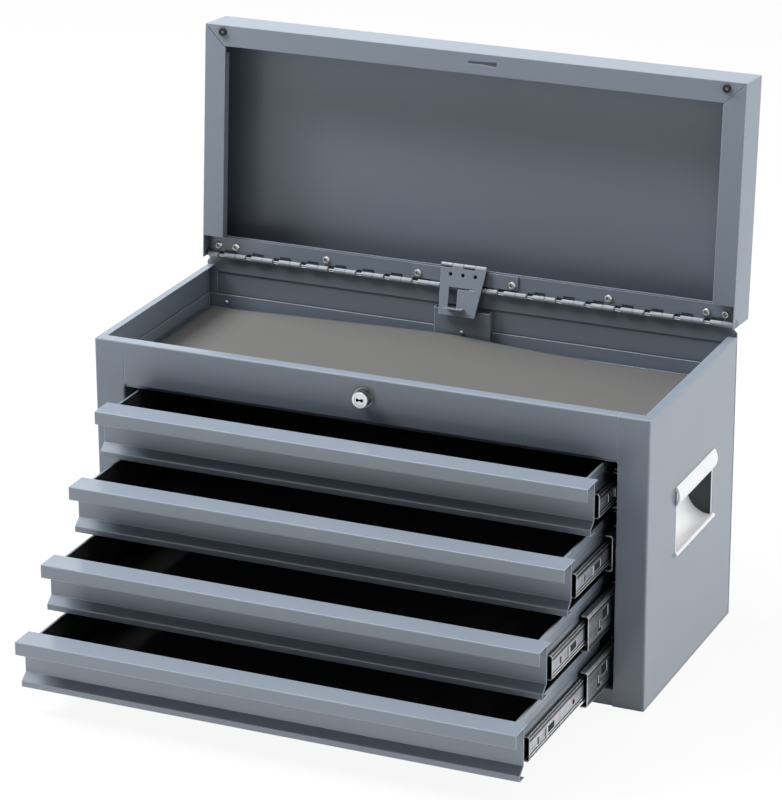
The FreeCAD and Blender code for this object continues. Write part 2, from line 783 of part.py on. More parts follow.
def lock_plate_bracket():
    """Bracket riveted on the lid leaf with two rolled knuckles, drawn with the lid closed."""
    z1 = hinge_z + leaf_lid_offset - leaf
    half = bracket_width / 2
    near = hinge_y - bracket_front
    far = hinge_y - leaf_lid_width
    reach = plate_knuckle_radius + knuckle_neck_gap
    flat = box(-half, half, far, near, z1 - bracket_sheet, z1)
    tongue = box(-plate_width / 2, plate_width / 2, plate_axis_y + reach, near, z1 - bracket_sheet, z1)
    lower = plate_knuckle_radius - bracket_sheet
    neck = [(chord(plate_knuckle_radius, lower), lower), (reach, lower), (reach, plate_knuckle_radius),
            (0, plate_knuckle_radius)]
    eyes = knuckles(plate_spans(0), plate_axis, plate_knuckle_radius, plate_pin_radius, neck)
    return fused(flat, tongue, *eyes)


def lock_plate_pin():
    """Small pin between bracket and lock plate."""
    reach = X_AXIS * (plate_width / 2)
    return rod(plate_pin_radius, plate_axis - reach, plate_axis + reach)


def lock_plate():
    """Hanging lock plate with three holes, a hooked window and a bent tab, drawn folded flat."""
    low_z = plate_axis_z - plate_knuckle_radius
    half = plate_width / 2
    reach = plate_knuckle_radius + knuckle_neck_gap
    start = plate_axis_y + reach
    end = plate_axis_y + plate_length
    outline = [(-half, start), (half, start), (half - plate_taper, end), (plate_left_taper - half, end)]
    plate = prism(outline, "xy", low_z, plate_sheet)
    upper = plate_sheet - plate_knuckle_radius
    neck = [(0, -plate_knuckle_radius), (reach, -plate_knuckle_radius), (reach, upper),
            (chord(plate_knuckle_radius, upper), upper)]
    bore = plate_pin_radius + running_gap
    eyes = knuckles(plate_spans(1), plate_axis, plate_knuckle_radius, bore, neck)
    window_x = window_left - half
    window = box(window_x, window_x + window_width, plate_axis_y + window_top, end - window_bottom,
                 low_z - overrun, low_z + plate_sheet + overrun)
    slot = box(window_x, window_slot_end - half, plate_axis_y + window_top,
               plate_axis_y + window_top + window_slot_height, low_z - overrun, low_z + plate_sheet + overrun)
    tab = box(window_x, window_x + tab_width, end - window_bottom - plate_sheet, end - window_bottom,
              low_z - tab_reach, low_z + plate_sheet)
    plate = fused(plate, *eyes).cut(window).cut(slot)
    for i in (-1, 0, 1):
        centre = Vector(i * plate_hole_pitch, plate_axis_y + plate_hole_drop, low_z - overrun)
        hole = regular(centre, plate_hole, plate_hole_sides)
        plate = plate.cut(hole.extrude(Z_AXIS * (2 * overrun + plate_sheet)))
    plate = fused(plate, tab)
    return turned(plate, plate_axis, -plate_lean)


def lock_channel_cover():
    """Hat-shaped cover on the back wall of the tray over the lock bar."""
    half = cover_width / 2
    y1 = back_y - sheet
    y0 = y1 - cover_reach
    top = case_height - cover_top_drop
    path = [(-half, y1), (-half, y0), (half, y0), (half, y1)]
    low = tray_z + sheet
    return folded(path, sheet, 0, "xy", low, top - low)


def drawer_lip_z(index):
    """Height of the top of one drawer's lip."""
    return lip_top_z - index * drawer_pitch


def drawer_back_z(index):
    """Height of the top of one drawer's back wall."""
    return drawer_lip_z(index) - drawer_back_drop


def lock_bar():
    """Upright bar behind the drawers with one hooked catch over each drawer's back."""
    y1 = back_y - sheet - bar_setback
    half = bar_width / 2
    top = case_height - cover_top_drop - bar_top_gap
    bar = box(-half, half, y1 - bar_sheet, y1, rail_height + bar_bottom_rise, top)
    wall_y = front_y + lip_depth + sheet + drawer_depth
    hook_y = wall_y - sheet - catch_gap - bar_sheet
    catches = []
    for index in range(drawer_count):
        low = drawer_back_z(index) + bar_travel - catch_overlap
        roof = low + catch_hook
        catches.append(box(-half, half, hook_y, y1 - bar_sheet, roof - bar_sheet, roof))
        catches.append(box(-half, half, hook_y, hook_y + bar_sheet, low, roof))
    return fused(bar, *catches)


def drawer_box(index):
    """Pan of one drawer with joggled, hemmed sides and a lower back wall, drawn pulled out."""
    lip_z = drawer_lip_z(index)
    y0 = front_y - drawer_pulls[index] + lip_depth + sheet
    top = lip_z - sheet
    floor = lip_z - drawer_face + drawer_floor_rise
    outer = drawer_side_x
    upper = drawer_side_x - drawer_joggle
    step_high = top - joggle_drop
    step_low = step_high - joggle_height
    path = [(-upper, top), (-upper, step_high), (-outer, step_low), (-outer, floor), (outer, floor),
            (outer, step_low), (upper, step_high), (upper, top)]
    pan = folded(path, sheet, 0, "xz", y0, drawer_depth)
    hem = box(upper, upper + hem_thickness, y0, y0 + drawer_depth, top - hem_height, top)
    back_top = drawer_back_z(index)
    back = [(-upper, back_top), (-upper, step_high), (-outer + bend, step_low), (-outer + bend, floor + bend),
            (outer - bend, floor + bend), (outer - bend, step_low), (upper, step_high), (upper, back_top)]
    wall = prism(back, "xz", y0 + drawer_depth - sheet, sheet)
    return fused(pan, hem, mirrored(hem), wall)


def drawer_front(index):
    """Folded front of one drawer: open handle lip, recessed panel and flared foot."""
    top = drawer_lip_z(index)
    face = front_y - drawer_pulls[index]
    panel = face + lip_depth
    foot = panel - flare_reach
    lip_low = top - lip_face
    panel_low = lip_low - panel_height
    flare_low = panel_low - flare_drop
    foot_low = flare_low - foot_face
    width = 2 * drawer_half
    lip_path = [(panel + lip_tail, top), (face, top), (face, lip_low)]
    lip = folded(lip_path, sheet, 0, "yz", -drawer_half, width)
    panel_path = [(panel, top - sheet), (panel, panel_low), (foot, flare_low), (foot, foot_low),
                  (foot + foot_return, foot_low)]
    return fused(lip, folded(panel_path, sheet, 0, "yz", -drawer_half, width))


def drawer_mat(index):
    """Black mat on the floor of one drawer."""
    lip_z = drawer_lip_z(index)
    y0 = front_y - drawer_pulls[index] + lip_depth + sheet + drawer_mat_gap
    floor = lip_z - drawer_face + drawer_floor_rise + sheet
    half = drawer_side_x - drawer_joggle - sheet - drawer_mat_gap
    y1 = y0 + drawer_depth - sheet - 2 * drawer_mat_gap
    return box(-half, half, y0, y1, floor, floor + drawer_mat_thickness)


def slide_centre(index):
    """Height of the middle of one drawer's slides."""
    return drawer_lip_z(index) - drawer_face + slide_rise


def pair(shape):
    """The right piece and its mirror image as two solids."""
    return Part.makeCompound([shape, mirrored(shape)])


def slide_channel(index):
    """Outer channel of the slides, fixed to the posts."""
    z = slide_centre(index)
    half = channel_height / 2
    x1 = slide_outer_x
    x0 = x1 - channel_leg
    path = [(x0, z - half), (x1, z - half), (x1, z + half), (x0, z + half)]
    return pair(folded(path, slide_sheet, None, "xz", front_y + channel_front, channel_length))


def member_path(leg_x, web_x, z, half):
    """Bends of a slide member from the end of one leg to the end of the other, its corners folded twice."""
    near = web_x - slide_corner
    web_half = half - slide_corner
    return [(leg_x, z - half), (near, z - half), (web_x, z - web_half), (web_x, z + web_half),
            (near, z + half), (leg_x, z + half)]


def slide_middle(index):
    """Middle member of the slides, with a hooked slot and a window near its front end."""
    z = slide_centre(index)
    x1 = slide_outer_x - slide_sheet - middle_web_gap
    y0 = front_y + middle_fronts[index]
    path = member_path(x1 - middle_leg, x1, z, middle_height / 2)
    member = folded(path, slide_sheet, None, "xz", y0, middle_length)
    web = (x1 - slide_sheet, x1)
    slot_y = y0 + middle_slot_setback
    slot_z = z - middle_slot_drop
    slot = box(*web, slot_y, slot_y + middle_slot_width, slot_z, slot_z + middle_slot_height)
    window_y = slot_y + middle_slot_foot
    foot = box(*web, slot_y, window_y, slot_z, slot_z + middle_slot_width)
    window = box(*web, window_y, window_y + middle_window_length, z, z + middle_window_height)
    return pair(member.cut(slot).cut(foot).cut(window))


def slide_rail(index):
    """Inner rail of the slides, its legs on the side of the drawer and its web outwards."""
    z = slide_centre(index)
    x1 = drawer_side_x + rail_bar_reach
    y0 = front_y - drawer_pulls[index] + lip_depth + sheet + rail_setback
    path = member_path(drawer_side_x, x1, z, rail_bar_height / 2)
    member = folded(path, slide_sheet, None, "xz", y0, drawer_depth - rail_setback)
    low = z - rail_slot_height / 2
    high = z + rail_slot_height / 2
    for setback, length in ((rail_hole_setback, rail_hole_length), (rail_slot_setback, rail_slot_length)):
        hole_y = y0 + setback
        member = member.cut(box(x1 - slide_sheet, x1, hole_y, hole_y + length, low, high))
    return pair(member)


def opened(shape):
    """A piece of the lid drawn closed, swung to the open position."""
    return turned(shape, hinge_axis, -lid_open_angle)


def build():
    """All pieces by node name, in the position of rest."""
    side = side_panel()
    handle = side_handle()
    posts = slide_posts()
    nodes = {
        "side_panel_right": side,
        "side_panel_left": mirrored(side),
        "back_panel": back_panel(),
        "bottom_panel": bottom_panel(),
        "header_rail": header_rail(),
        "tray_floor": tray_floor(),
        "tray_mat": tray_mat(),
        "slide_posts_right": Part.makeCompound(posts),
        "slide_posts_left": Part.makeCompound([mirrored(p) for p in posts]),
        "side_handle_right": handle,
        "side_handle_left": mirrored(handle),
        "lock_body": lock_body(),
        "lock_plug": lock_plug(),
        "lock_nut": lock_nut(),
        "lock_cam": lock_cam(),
        "lock_cam_screw": lock_cam_screw(),
        "lock_channel_cover": lock_channel_cover(),
        "lock_bar": lock_bar(),
        "hinge_case_leaf": hinge_case_leaf(),
        "hinge_pin": hinge_pin(),
        "hinge_lid_leaf": opened(hinge_lid_leaf()),
        "hinge_rivets": opened(Part.makeCompound(hinge_rivets())),
        "lid_shell": opened(lid_shell()),
        "lid_bumpers": opened(Part.makeCompound(lid_bumpers())),
        "lock_plate_bracket": opened(lock_plate_bracket()),
        "lock_plate_pin": opened(lock_plate_pin()),
        "lock_plate": opened(lock_plate()),
    }
    for index in range(drawer_count):
        number = index + 1
        nodes[f"drawer_{number}_box"] = drawer_box(index)
        nodes[f"drawer_{number}_front"] = drawer_front(index)
        nodes[f"drawer_{number}_mat"] = drawer_mat(index)
        nodes[f"drawer_{number}_slide_rails"] = slide_rail(index)
        nodes[f"drawer_{number}_slide_middles"] = slide_middle(index)
        nodes[f"drawer_{number}_slide_channels"] = slide_channel(index)
    return nodes


os.makedirs("parts", exist_ok=True)
for name, shape in build().items():
    shape.exportStep(f"parts/{name}.step")
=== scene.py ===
"""Looks of a sheet-steel top tool chest: paint, plated metal, mats and small fittings."""

from __future__ import annotations

import json
import logging
import math
from dataclasses import dataclass
from enum import Enum
from fnmatch import fnmatchcase
from typing import Any, Callable, Mapping, Sequence

import bmesh
import bpy
from mathutils import Matrix, Vector

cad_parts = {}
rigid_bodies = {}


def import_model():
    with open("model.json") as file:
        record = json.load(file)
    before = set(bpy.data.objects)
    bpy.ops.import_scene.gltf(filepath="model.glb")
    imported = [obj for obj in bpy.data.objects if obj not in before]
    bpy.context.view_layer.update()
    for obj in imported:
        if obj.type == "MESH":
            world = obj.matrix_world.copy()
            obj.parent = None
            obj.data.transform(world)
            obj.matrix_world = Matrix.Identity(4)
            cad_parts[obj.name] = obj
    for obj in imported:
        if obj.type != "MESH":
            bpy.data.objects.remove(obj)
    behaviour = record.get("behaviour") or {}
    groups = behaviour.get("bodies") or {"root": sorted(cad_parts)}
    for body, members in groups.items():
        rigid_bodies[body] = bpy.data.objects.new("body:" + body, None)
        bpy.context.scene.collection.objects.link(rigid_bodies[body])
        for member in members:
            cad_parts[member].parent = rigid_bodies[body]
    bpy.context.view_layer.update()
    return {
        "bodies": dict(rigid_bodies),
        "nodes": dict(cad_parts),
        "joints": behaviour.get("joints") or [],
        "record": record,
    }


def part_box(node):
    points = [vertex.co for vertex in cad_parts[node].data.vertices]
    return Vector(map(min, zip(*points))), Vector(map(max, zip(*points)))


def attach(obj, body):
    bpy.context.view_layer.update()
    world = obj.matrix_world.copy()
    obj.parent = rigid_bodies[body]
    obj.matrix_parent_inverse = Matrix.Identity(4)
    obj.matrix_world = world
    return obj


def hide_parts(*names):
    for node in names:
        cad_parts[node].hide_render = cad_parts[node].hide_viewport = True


LOG = logging.getLogger("tool_chest")
MM = 0.001
DRAWERS = range(1, 5)
Colour = tuple[float, float, float, float]
Profile = Sequence[tuple[float, float]]


def display(red: int, green: int, blue: int) -> Colour:
    """Linear colour of a display colour.

    Args:
        red: red from 0 to 255.
        green: green from 0 to 255.
        blue: blue from 0 to 255.

    Returns:
        The linear colour with full alpha.
    """
    shares = [channel / 255 for channel in (red, green, blue)]
    linear = [s / 12.92 if s <= 0.04045 else ((s + 0.055) / 1.055) ** 2.4 for s in shares]
    return (linear[0], linear[1], linear[2], 1.0)


def shaded(colour: Colour, factor: float) -> Colour:
    """A copy of a colour with its light multiplied by a factor."""
    return (colour[0] * factor, colour[1] * factor, colour[2] * factor, colour[3])


class Hand(Enum):
    """Sides of the chest, as the sign of X."""

    LEFT = -1
    RIGHT = 1


class Signal:
    """A shader value that takes part in Python expressions."""

    def __init__(self, tree: bpy.types.NodeTree, socket: bpy.types.NodeSocket) -> None:
        """Wrap an output socket of a node tree."""
        self.tree = tree
        self.socket = socket

    def math(self, operation: str, first: Signal | float, second: Signal | float) -> Signal:
        """Add a Math node.

        Args:
            operation: the node's operation.
            first: its first input.
            second: its second input.

        Returns:
            The node's result.
        """
        node = self.tree.nodes.new("ShaderNodeMath")
        node.operation = operation
        for index, term in enumerate((first, second)):
            if isinstance(term, Signal):
                self.tree.links.new(term.socket, node.inputs[index])
            else:
                node.inputs[index].default_value = term
        return Signal(self.tree, node.outputs[0])

    def __add__(self, other: Signal | float) -> Signal:
        """Sum."""
        return self.math("ADD", self, other)

    def __radd__(self, other: float) -> Signal:
        """Sum with a number on the left."""
        return self.math("ADD", other, self)

    def __sub__(self, other: Signal | float) -> Signal:
        """Difference."""
        return self.math("SUBTRACT", self, other)

    def __rsub__(self, other: float) -> Signal:
        """Difference from a number."""
        return self.math("SUBTRACT", other, self)

    def __mul__(self, other: Signal | float) -> Signal:
        """Product."""
        return self.math("MULTIPLY", self, other)

    def __rmul__(self, other: float) -> Signal:
        """Product with a number on the left."""
        return self.math("MULTIPLY", other, self)

    def __pow__(self, other: float) -> Signal:
        """Power."""
        return self.math("POWER", self, other)

    def __lt__(self, other: Signal | float) -> Signal:
        """One where this is less, else zero."""
        return self.math("LESS_THAN", self, other)

    def __gt__(self, other: Signal | float) -> Signal:
        """One where this is more, else zero."""
        return self.math("GREATER_THAN", self, other)

    def __abs__(self) -> Signal:
        """Absolute value."""
        return self.math("ABSOLUTE", self, 0.0)

    def __or__(self, other: Signal) -> Signal:
        """The larger of two masks."""
        return self.math("MAXIMUM", self, other)

    def within(self) -> Signal:
        """The value held between zero and one."""
        return self.math("MINIMUM", self.math("MAXIMUM", self, 0.0), 1.0)


class Nodes:
    """Adds nodes to one tree."""

    def __init__(self, tree: bpy.types.NodeTree) -> None:
        """Work on a node tree, emptied by the caller where need be."""
        self.tree = tree

    def feed(self, socket: bpy.types.NodeSocket, value: Any) -> None:
        """Link or set one input.

        Args:
            socket: the input.
            value: a Signal, an output socket or a plain value.
        """
        if isinstance(value, Signal):
            self.tree.links.new(value.socket, socket)
        elif isinstance(value, bpy.types.NodeSocket):
            self.tree.links.new(value, socket)
        else:
            socket.default_value = value

    def node(
        self, kind: str, settings: Mapping[str, Any], numbered: Sequence[tuple[int, Any]] = (), **inputs: Any
    ) -> bpy.types.Node:
        """Add a node.

        Args:
            kind: the node's type.
            settings: its properties, set first.
            numbered: its sockets by number, for those that share a name.
            inputs: its sockets by name, with underscores for spaces.

        Returns:
            The node.
        """
        node = self.tree.nodes.new(kind)
        for name, value in settings.items():
            setattr(node, name, value)
        for number, value in numbered:
            self.feed(node.inputs[number], value)
        for name, value in inputs.items():
            self.feed(node.inputs[name.replace("_", " ")], value)
        return node


class Bench(Nodes):
    """Nodes of one material around a Principled shader."""

    edge_gain = 9.0
    edge_samples = 4
    open_samples = 6

    def __init__(self, name: str) -> None:
        """Start a material with only its shader and output."""
        self.material = bpy.data.materials.new(name)
        self.material.use_nodes = True
        super().__init__(self.material.node_tree)
        self.tree.nodes.clear()
        self.shader = self.node("ShaderNodeBsdfPrincipled", {})
        self.node("ShaderNodeOutputMaterial", {}, Surface=self.shader.outputs["BSDF"])
        self.coordinates = self.node("ShaderNodeTexCoord", {})

    def set(self, **inputs: Any) -> None:
        """Link or set inputs of the Principled shader by name, with underscores for spaces."""
        for name, value in inputs.items():
            self.feed(self.shader.inputs[name.replace("_", " ")], value)

    def place(self, scale: Sequence[float] = (1.0, 1.0, 1.0)) -> bpy.types.NodeSocket:
        """Object coordinates, stretched along X, Y and Z."""
        mapping = self.node("ShaderNodeMapping", {}, Vector=self.coordinates.outputs["Object"], Scale=scale)
        return mapping.outputs["Vector"]

    def noise(self, scale: float, detail: float = 2.0, stretch: Sequence[float] = (1.0, 1.0, 1.0)) -> Signal:
        """Noise from zero to one, in cells per metre, with octaves of detail and a stretch."""
        node = self.node("ShaderNodeTexNoise", {}, Vector=self.place(stretch), Scale=scale, Detail=detail)
        return Signal(self.tree, node.outputs["Fac"])

    def split(self, output: str) -> tuple[Signal, Signal, Signal]:
        """Components of the coordinates that an output name picks, such as Object or Normal."""
        outputs = self.node("ShaderNodeSeparateXYZ", {}, Vector=self.coordinates.outputs[output]).outputs
        return (Signal(self.tree, outputs[0]), Signal(self.tree, outputs[1]), Signal(self.tree, outputs[2]))

    def blend(self, factor: Signal, first: Any, second: Any) -> bpy.types.NodeSocket:
        """Mix two colours or colour sockets by the share of the second."""
        sockets = ((0, factor), (6, first), (7, second))
        return self.node("ShaderNodeMix", {"data_type": "RGBA"}, sockets).outputs[2]

    def rounded(self, radius: float) -> tuple[bpy.types.NodeSocket, Signal]:
        """Normals softened over sharp edges.

        Args:
            radius: how far from an edge, in metres.

        Returns:
            The normal's socket and a mask that is high along edges.
        """
        bevel = self.node("ShaderNodeBevel", {"samples": self.edge_samples}, Radius=radius)
        geometry = self.node("ShaderNodeNewGeometry", {})
        sockets = ((0, bevel.outputs["Normal"]), (1, geometry.outputs["True Normal"]))
        dot = self.node("ShaderNodeVectorMath", {"operation": "DOT_PRODUCT"}, sockets)
        edge = ((1.0 - Signal(self.tree, dot.outputs["Value"])) * self.edge_gain).within()
        return bevel.outputs["Normal"], edge

    def open_share(self, reach: float) -> Signal:
        """Share of open surroundings within a reach in metres, low in corners and crevices."""
        node = self.node("ShaderNodeAmbientOcclusion", {"samples": self.open_samples}, Distance=reach)
        return Signal(self.tree, node.outputs["AO"])

    def from_line(self, axis: tuple[float, float]) -> Signal:
        """Distance in metres from a line along X at the Y and Z given."""
        _, y, z = self.split("Object")
        across = y - axis[0]
        up = z - axis[1]
        return (across * across + up * up) ** 0.5

    def bump(self, height: Signal, strength: float, depth: float, normal: Any = None) -> None:
        """Feed the shader's normal from a height.

        Args:
            height: the height from zero to one.
            strength: share of the effect.
            depth: the height's full size in metres.
            normal: a normal to start from.
        """
        node = self.node("ShaderNodeBump", {}, Height=height, Strength=strength, Distance=depth)
        if normal is not None:
            self.feed(node.inputs["Normal"], normal)
        self.set(Normal=node.outputs["Normal"])


@dataclass(frozen=True)
class SatinPaint:
    """Powder-coated sheet steel with a fine peel, painted highlights on its edges and painted shade in
    crevices.
    """

    name: str
    colour: Colour
    roughness: float = 0.22
    gloss: float = 0.55
    edge_radius: float = 1.1 * MM
    # painted highlight: how much lighter edges are painted, and how much of it shows
    highlight_gain: float = 2.2
    highlight_share: float = 0.9
    peel_cells: float = 700.0
    peel_depth: float = 0.06 * MM
    peel_share: float = 0.2
    peel_rough: float = 0.08
    cloud_cells: float = 7.0
    cloud_depth: float = 0.05
    # painted shade: reach of the occlusion look and how dark crevices are painted
    shade_reach: float = 7.0 * MM
    painted_shade_dark: float = 0.45

    def tint(self, bench: Bench, edge: Signal, openness: Signal) -> bpy.types.NodeSocket:
        """Colour of the paint, cloudy, with painted shade in crevices and a painted highlight along edges.

        Args:
            bench: the material's nodes.
            edge: mask of the edges.
            openness: share that is low in crevices.

        Returns:
            The colour's socket.
        """
        cloud = bench.noise(self.cloud_cells, 3.0)
        low = shaded(self.colour, 1 - self.cloud_depth)
        base = bench.blend(cloud, low, shaded(self.colour, 1 + self.cloud_depth))
        # painted shade: darker where the surroundings close in
        deep = bench.blend(openness, shaded(self.colour, self.painted_shade_dark), base)
        # painted highlight: lighter along edges, less so in crevices
        painted_highlight = edge * openness ** 0.5 * self.highlight_share
        return bench.blend(painted_highlight, deep, shaded(self.colour, self.highlight_gain))

    def make(self) -> bpy.types.Material:
        """Build the material."""
        bench = Bench(self.name)
        normal, edge = bench.rounded(self.edge_radius)
        peel = bench.noise(self.peel_cells, 2.0)
        openness = bench.open_share(self.shade_reach)
        bench.set(
            Base_Color=self.tint(bench, edge, openness),
            Roughness=self.roughness + (peel - 0.5) * self.peel_rough,
            Specular_IOR_Level=self.gloss,
        )
        bench.bump(peel, self.peel_share, self.peel_depth, normal)
        return bench.material


@dataclass(frozen=True)
class HingePaint(SatinPaint):
    """The same paint with a painted highlight round a hinge's axis by default, painted shade where its tone
    is set dark.
    """

    axis: tuple[float, float] = (0.0, 0.0)
    barrel: float = 3.3 * MM
    # painted highlight by default: the knuckles lighter than the leaves
    barrel_painted_tone: Colour = (0.48, 0.52, 0.56, 1.0)
    # random mottle of how much of the painted tone shows
    mottle_cells: float = 90.0
    mottle_gain: float = 0.5
    mottle_least: float = 0.35

    def tint(self, bench: Bench, edge: Signal, openness: Signal) -> bpy.types.NodeSocket:
        """Colour of the paint, with a mottled painted tone round the axis."""
        on_barrel = bench.from_line(self.axis) < self.barrel
        mottle = bench.noise(self.mottle_cells, 4.0) * self.mottle_gain + self.mottle_least
        return bench.blend(on_barrel * mottle, super().tint(bench, edge, openness), self.barrel_painted_tone)


@dataclass(frozen=True)
class DrawerPaint(SatinPaint):
    """The same paint outside, with black painted shade inside the drawers and deeper painted shade on the
    sides.
    """

    inner_shade_colour: Colour = (0.05, 0.05, 0.052, 1.0)
    inner_half: float = 250.8 * MM
    shade_power: float = 2.2
    inward: float = -0.1
    facing: float = 0.5

    def tint(self, bench: Bench, edge: Signal, openness: Signal) -> bpy.types.NodeSocket:
        """Colour by the way each face looks: outward faces painted, inward faces black as painted shade."""
        x, _, _ = bench.split("Object")
        normal_x, normal_y, normal_z = bench.split("Normal")
        walls = (x * normal_x) < self.inward
        between = abs(x) < self.inner_half
        floor = (normal_z > self.facing) * between
        back = (normal_y < -self.facing) * between
        # painted shade: darkened more steeply near the case and slides
        painted = super().tint(bench, edge, openness ** self.shade_power)
        # painted shade: inward faces of walls, floor and back painted black
        return bench.blend(walls | floor | back, painted, self.inner_shade_colour)


@dataclass(frozen=True)
class PlatedSteel:
    """Plated steel, drawn along one direction, with painted highlights on its edges and painted shade in
    crevices.
    """

    name: str
    dark: Colour
    light: Colour
    roughness: float = 0.30
    stretch: tuple[float, float, float] = (260.0, 5.0, 260.0)
    edge_radius: float = 1.2 * MM
    # painted highlight colour of edges; reach of painted shade in crevices
    edge_highlight_colour: Colour = (0.88, 0.89, 0.90, 1.0)
    shade_reach: float = 6.0 * MM
    streak_share: float = 0.6
    streak_rough: float = 0.16
    streak_bump: float = 0.15
    streak_depth: float = 0.05 * MM
    spangle_cells: float = 140.0
    edge_rough: float = 0.1

    def lightness(self, bench: Bench, grain: Signal) -> Signal:
        """Share of the light tone at a point."""
        return grain

    def make(self) -> bpy.types.Material:
        """Build the material."""
        bench = Bench(self.name)
        normal, edge = bench.rounded(self.edge_radius)
        streak = bench.noise(1.0, 4.0, self.stretch)
        spangle = bench.noise(self.spangle_cells, 2.0)
        openness = bench.open_share(self.shade_reach)
        grain = self.lightness(bench, streak * self.streak_share + spangle * (1 - self.streak_share))
        # painted shade: the tone drops to the dark one in crevices
        base = bench.blend(grain * openness, self.dark, self.light)
        bench.set(
            # painted highlight along edges
            Base_Color=bench.blend(edge * openness ** 0.5, base, self.edge_highlight_colour),
            Roughness=self.roughness + streak * self.streak_rough + edge * self.edge_rough,
            Metallic=1.0,
        )
        bench.bump(streak, self.streak_bump, self.streak_depth, normal)
        return bench.material


@dataclass(frozen=True)
class BandedSteel(PlatedSteel):
    """Plated slide member with painted highlight bands along its outer face for its rolled shape, the same
    for each drawer.
    """

    first: float = 0.0
    pitch: float = 59.7 * MM
    rows: int = 4
    bands: tuple[tuple[float, float], ...] = ()
    band_gain: float = 1.8
    plain_share: float = 0.15

    def lightness(self, bench: Bench, grain: Signal) -> Signal:
        """Share of the light tone: painted highlight in the bands of the outer face, painted shade between
        them.
        """
        _, _, z = bench.split("Object")
        raised = z + ((self.rows + 0.5) * self.pitch - self.first)
        height = raised.math("MODULO", raised, self.pitch) - self.pitch / 2
        in_highlight_band = grain * 0.0
        for low, high in self.bands:
            in_highlight_band = in_highlight_band | ((height > low) * (height < high))
        return (grain * (in_highlight_band * (self.band_gain - self.plain_share) + self.plain_share)).within()


@dataclass(frozen=True)
class BrightMetal:
    """Polished or fine-grained bright metal with faint handling marks, and masks for painted shade and
    painted highlight.
    """

    name: str
    colour: Colour
    roughness: float
    smudge: float = 0.08
    mark_cells: float = 55.0
    mark_dark: float = 0.94
    edge_polish: float = 0.04
    grain_cells: float = 1400.0
    grain_share: float = 0.1
    grain_depth: float = 0.02 * MM
    edge_radius: float = 0.5 * MM
    metallic: float = 1.0
    # colours of painted shade and of painted highlight
    dark: Colour = (0.03, 0.032, 0.035, 1.0)
    painted_highlight_colour: Colour = (0.94, 0.94, 0.96, 1.0)

    def painted_shade_mask(self, bench: Bench) -> Signal | float:
        """Mask of the faces painted dark as painted shade."""
        return 0.0

    def painted_highlight_mask(self, bench: Bench) -> Signal | float:
        """Mask of the faces painted lighter as a painted highlight."""
        return 0.0

    def make(self) -> bpy.types.Material:
        """Build the material."""
        bench = Bench(self.name)
        normal, edge = bench.rounded(self.edge_radius)
        marks = bench.noise(self.mark_cells, 5.0)
        grain = bench.noise(self.grain_cells, 1.0)
        bright = bench.blend(marks, shaded(self.colour, self.mark_dark), self.colour)
        # painted highlight where its mask is set
        bright = bench.blend(self.painted_highlight_mask(bench), bright, self.painted_highlight_colour)
        bench.set(
            # painted shade where its mask is set
            Base_Color=bench.blend(self.painted_shade_mask(bench), bright, self.dark),
            Roughness=self.roughness + marks * self.smudge - edge * self.edge_polish,
            Metallic=self.metallic,
        )
        bench.bump(grain, self.grain_share, self.grain_depth, normal)
        return bench.material


@dataclass(frozen=True)
class HandleMetal(BrightMetal):
    """Brushed handle metal with painted shade on the sunk end walls and a painted highlight in the cup."""

    mouth: float = 299.5 * MM
    end_facing: float = 0.7

    def painted_shade_mask(self, bench: Bench) -> Signal | float:
        """Mask of the walls in the cup that look forwards or backwards, painted dark as painted shade."""
        x, _, _ = bench.split("Object")
        _, normal_y, _ = bench.split("Normal")
        return (abs(normal_y) > self.end_facing) * (abs(x) < self.mouth)

    def painted_highlight_mask(self, bench: Bench) -> Signal | float:
        """Mask of the cup inside the mouth, painted lighter as a painted highlight."""
        x, _, _ = bench.split("Object")
        return abs(x) < self.mouth


@dataclass(frozen=True)
class SunkChrome(BrightMetal):
    """Chrome with painted shade towards the panel behind it."""

    reach: float = 14.0 * MM
    shade_gain: float = 2.0

    def painted_shade_mask(self, bench: Bench) -> Signal | float:
        """Mask of painted shade that grows close to other surfaces."""
        return ((1.0 - bench.open_share(self.reach)) * self.shade_gain).within()


@dataclass(frozen=True)
class KeyedChrome(BrightMetal):
    """Chrome of the lock core, with black painted shade inside the keyway."""

    face: float = 0.0
    face_depth: float = 0.4 * MM

    def painted_shade_mask(self, bench: Bench) -> Signal | float:
        """Mask of painted shade: all that lies behind the front face."""
        _, y, _ = bench.split("Object")
        return y > self.face + self.face_depth


@dataclass(frozen=True)
class FoamSheet:
    """Matt foam liner with a fine closed-cell skin."""

    name: str
    colour: Colour
    skin_cells: float = 620.0
    depth: float = 0.25 * MM
    relief: float = 0.6
    patch_cells: float = 14.0
    patch_share: float = 0.35
    roughness: float = 0.86
    skin_rough: float = 0.12

    def make(self) -> bpy.types.Material:
        """Build the material."""
        bench = Bench(self.name)
        cells = bench.noise(self.skin_cells, 4.0)
        patches = bench.noise(self.patch_cells, 3.0)
        fleck = bench.blend(cells, shaded(self.colour, 0.84), shaded(self.colour, 1.14))
        bench.set(
            Base_Color=bench.blend(patches * self.patch_share, fleck, shaded(self.colour, 0.9)),
            Roughness=self.roughness + cells * self.skin_rough,
        )
        bench.bump(cells, self.relief, self.depth)
        return bench.material


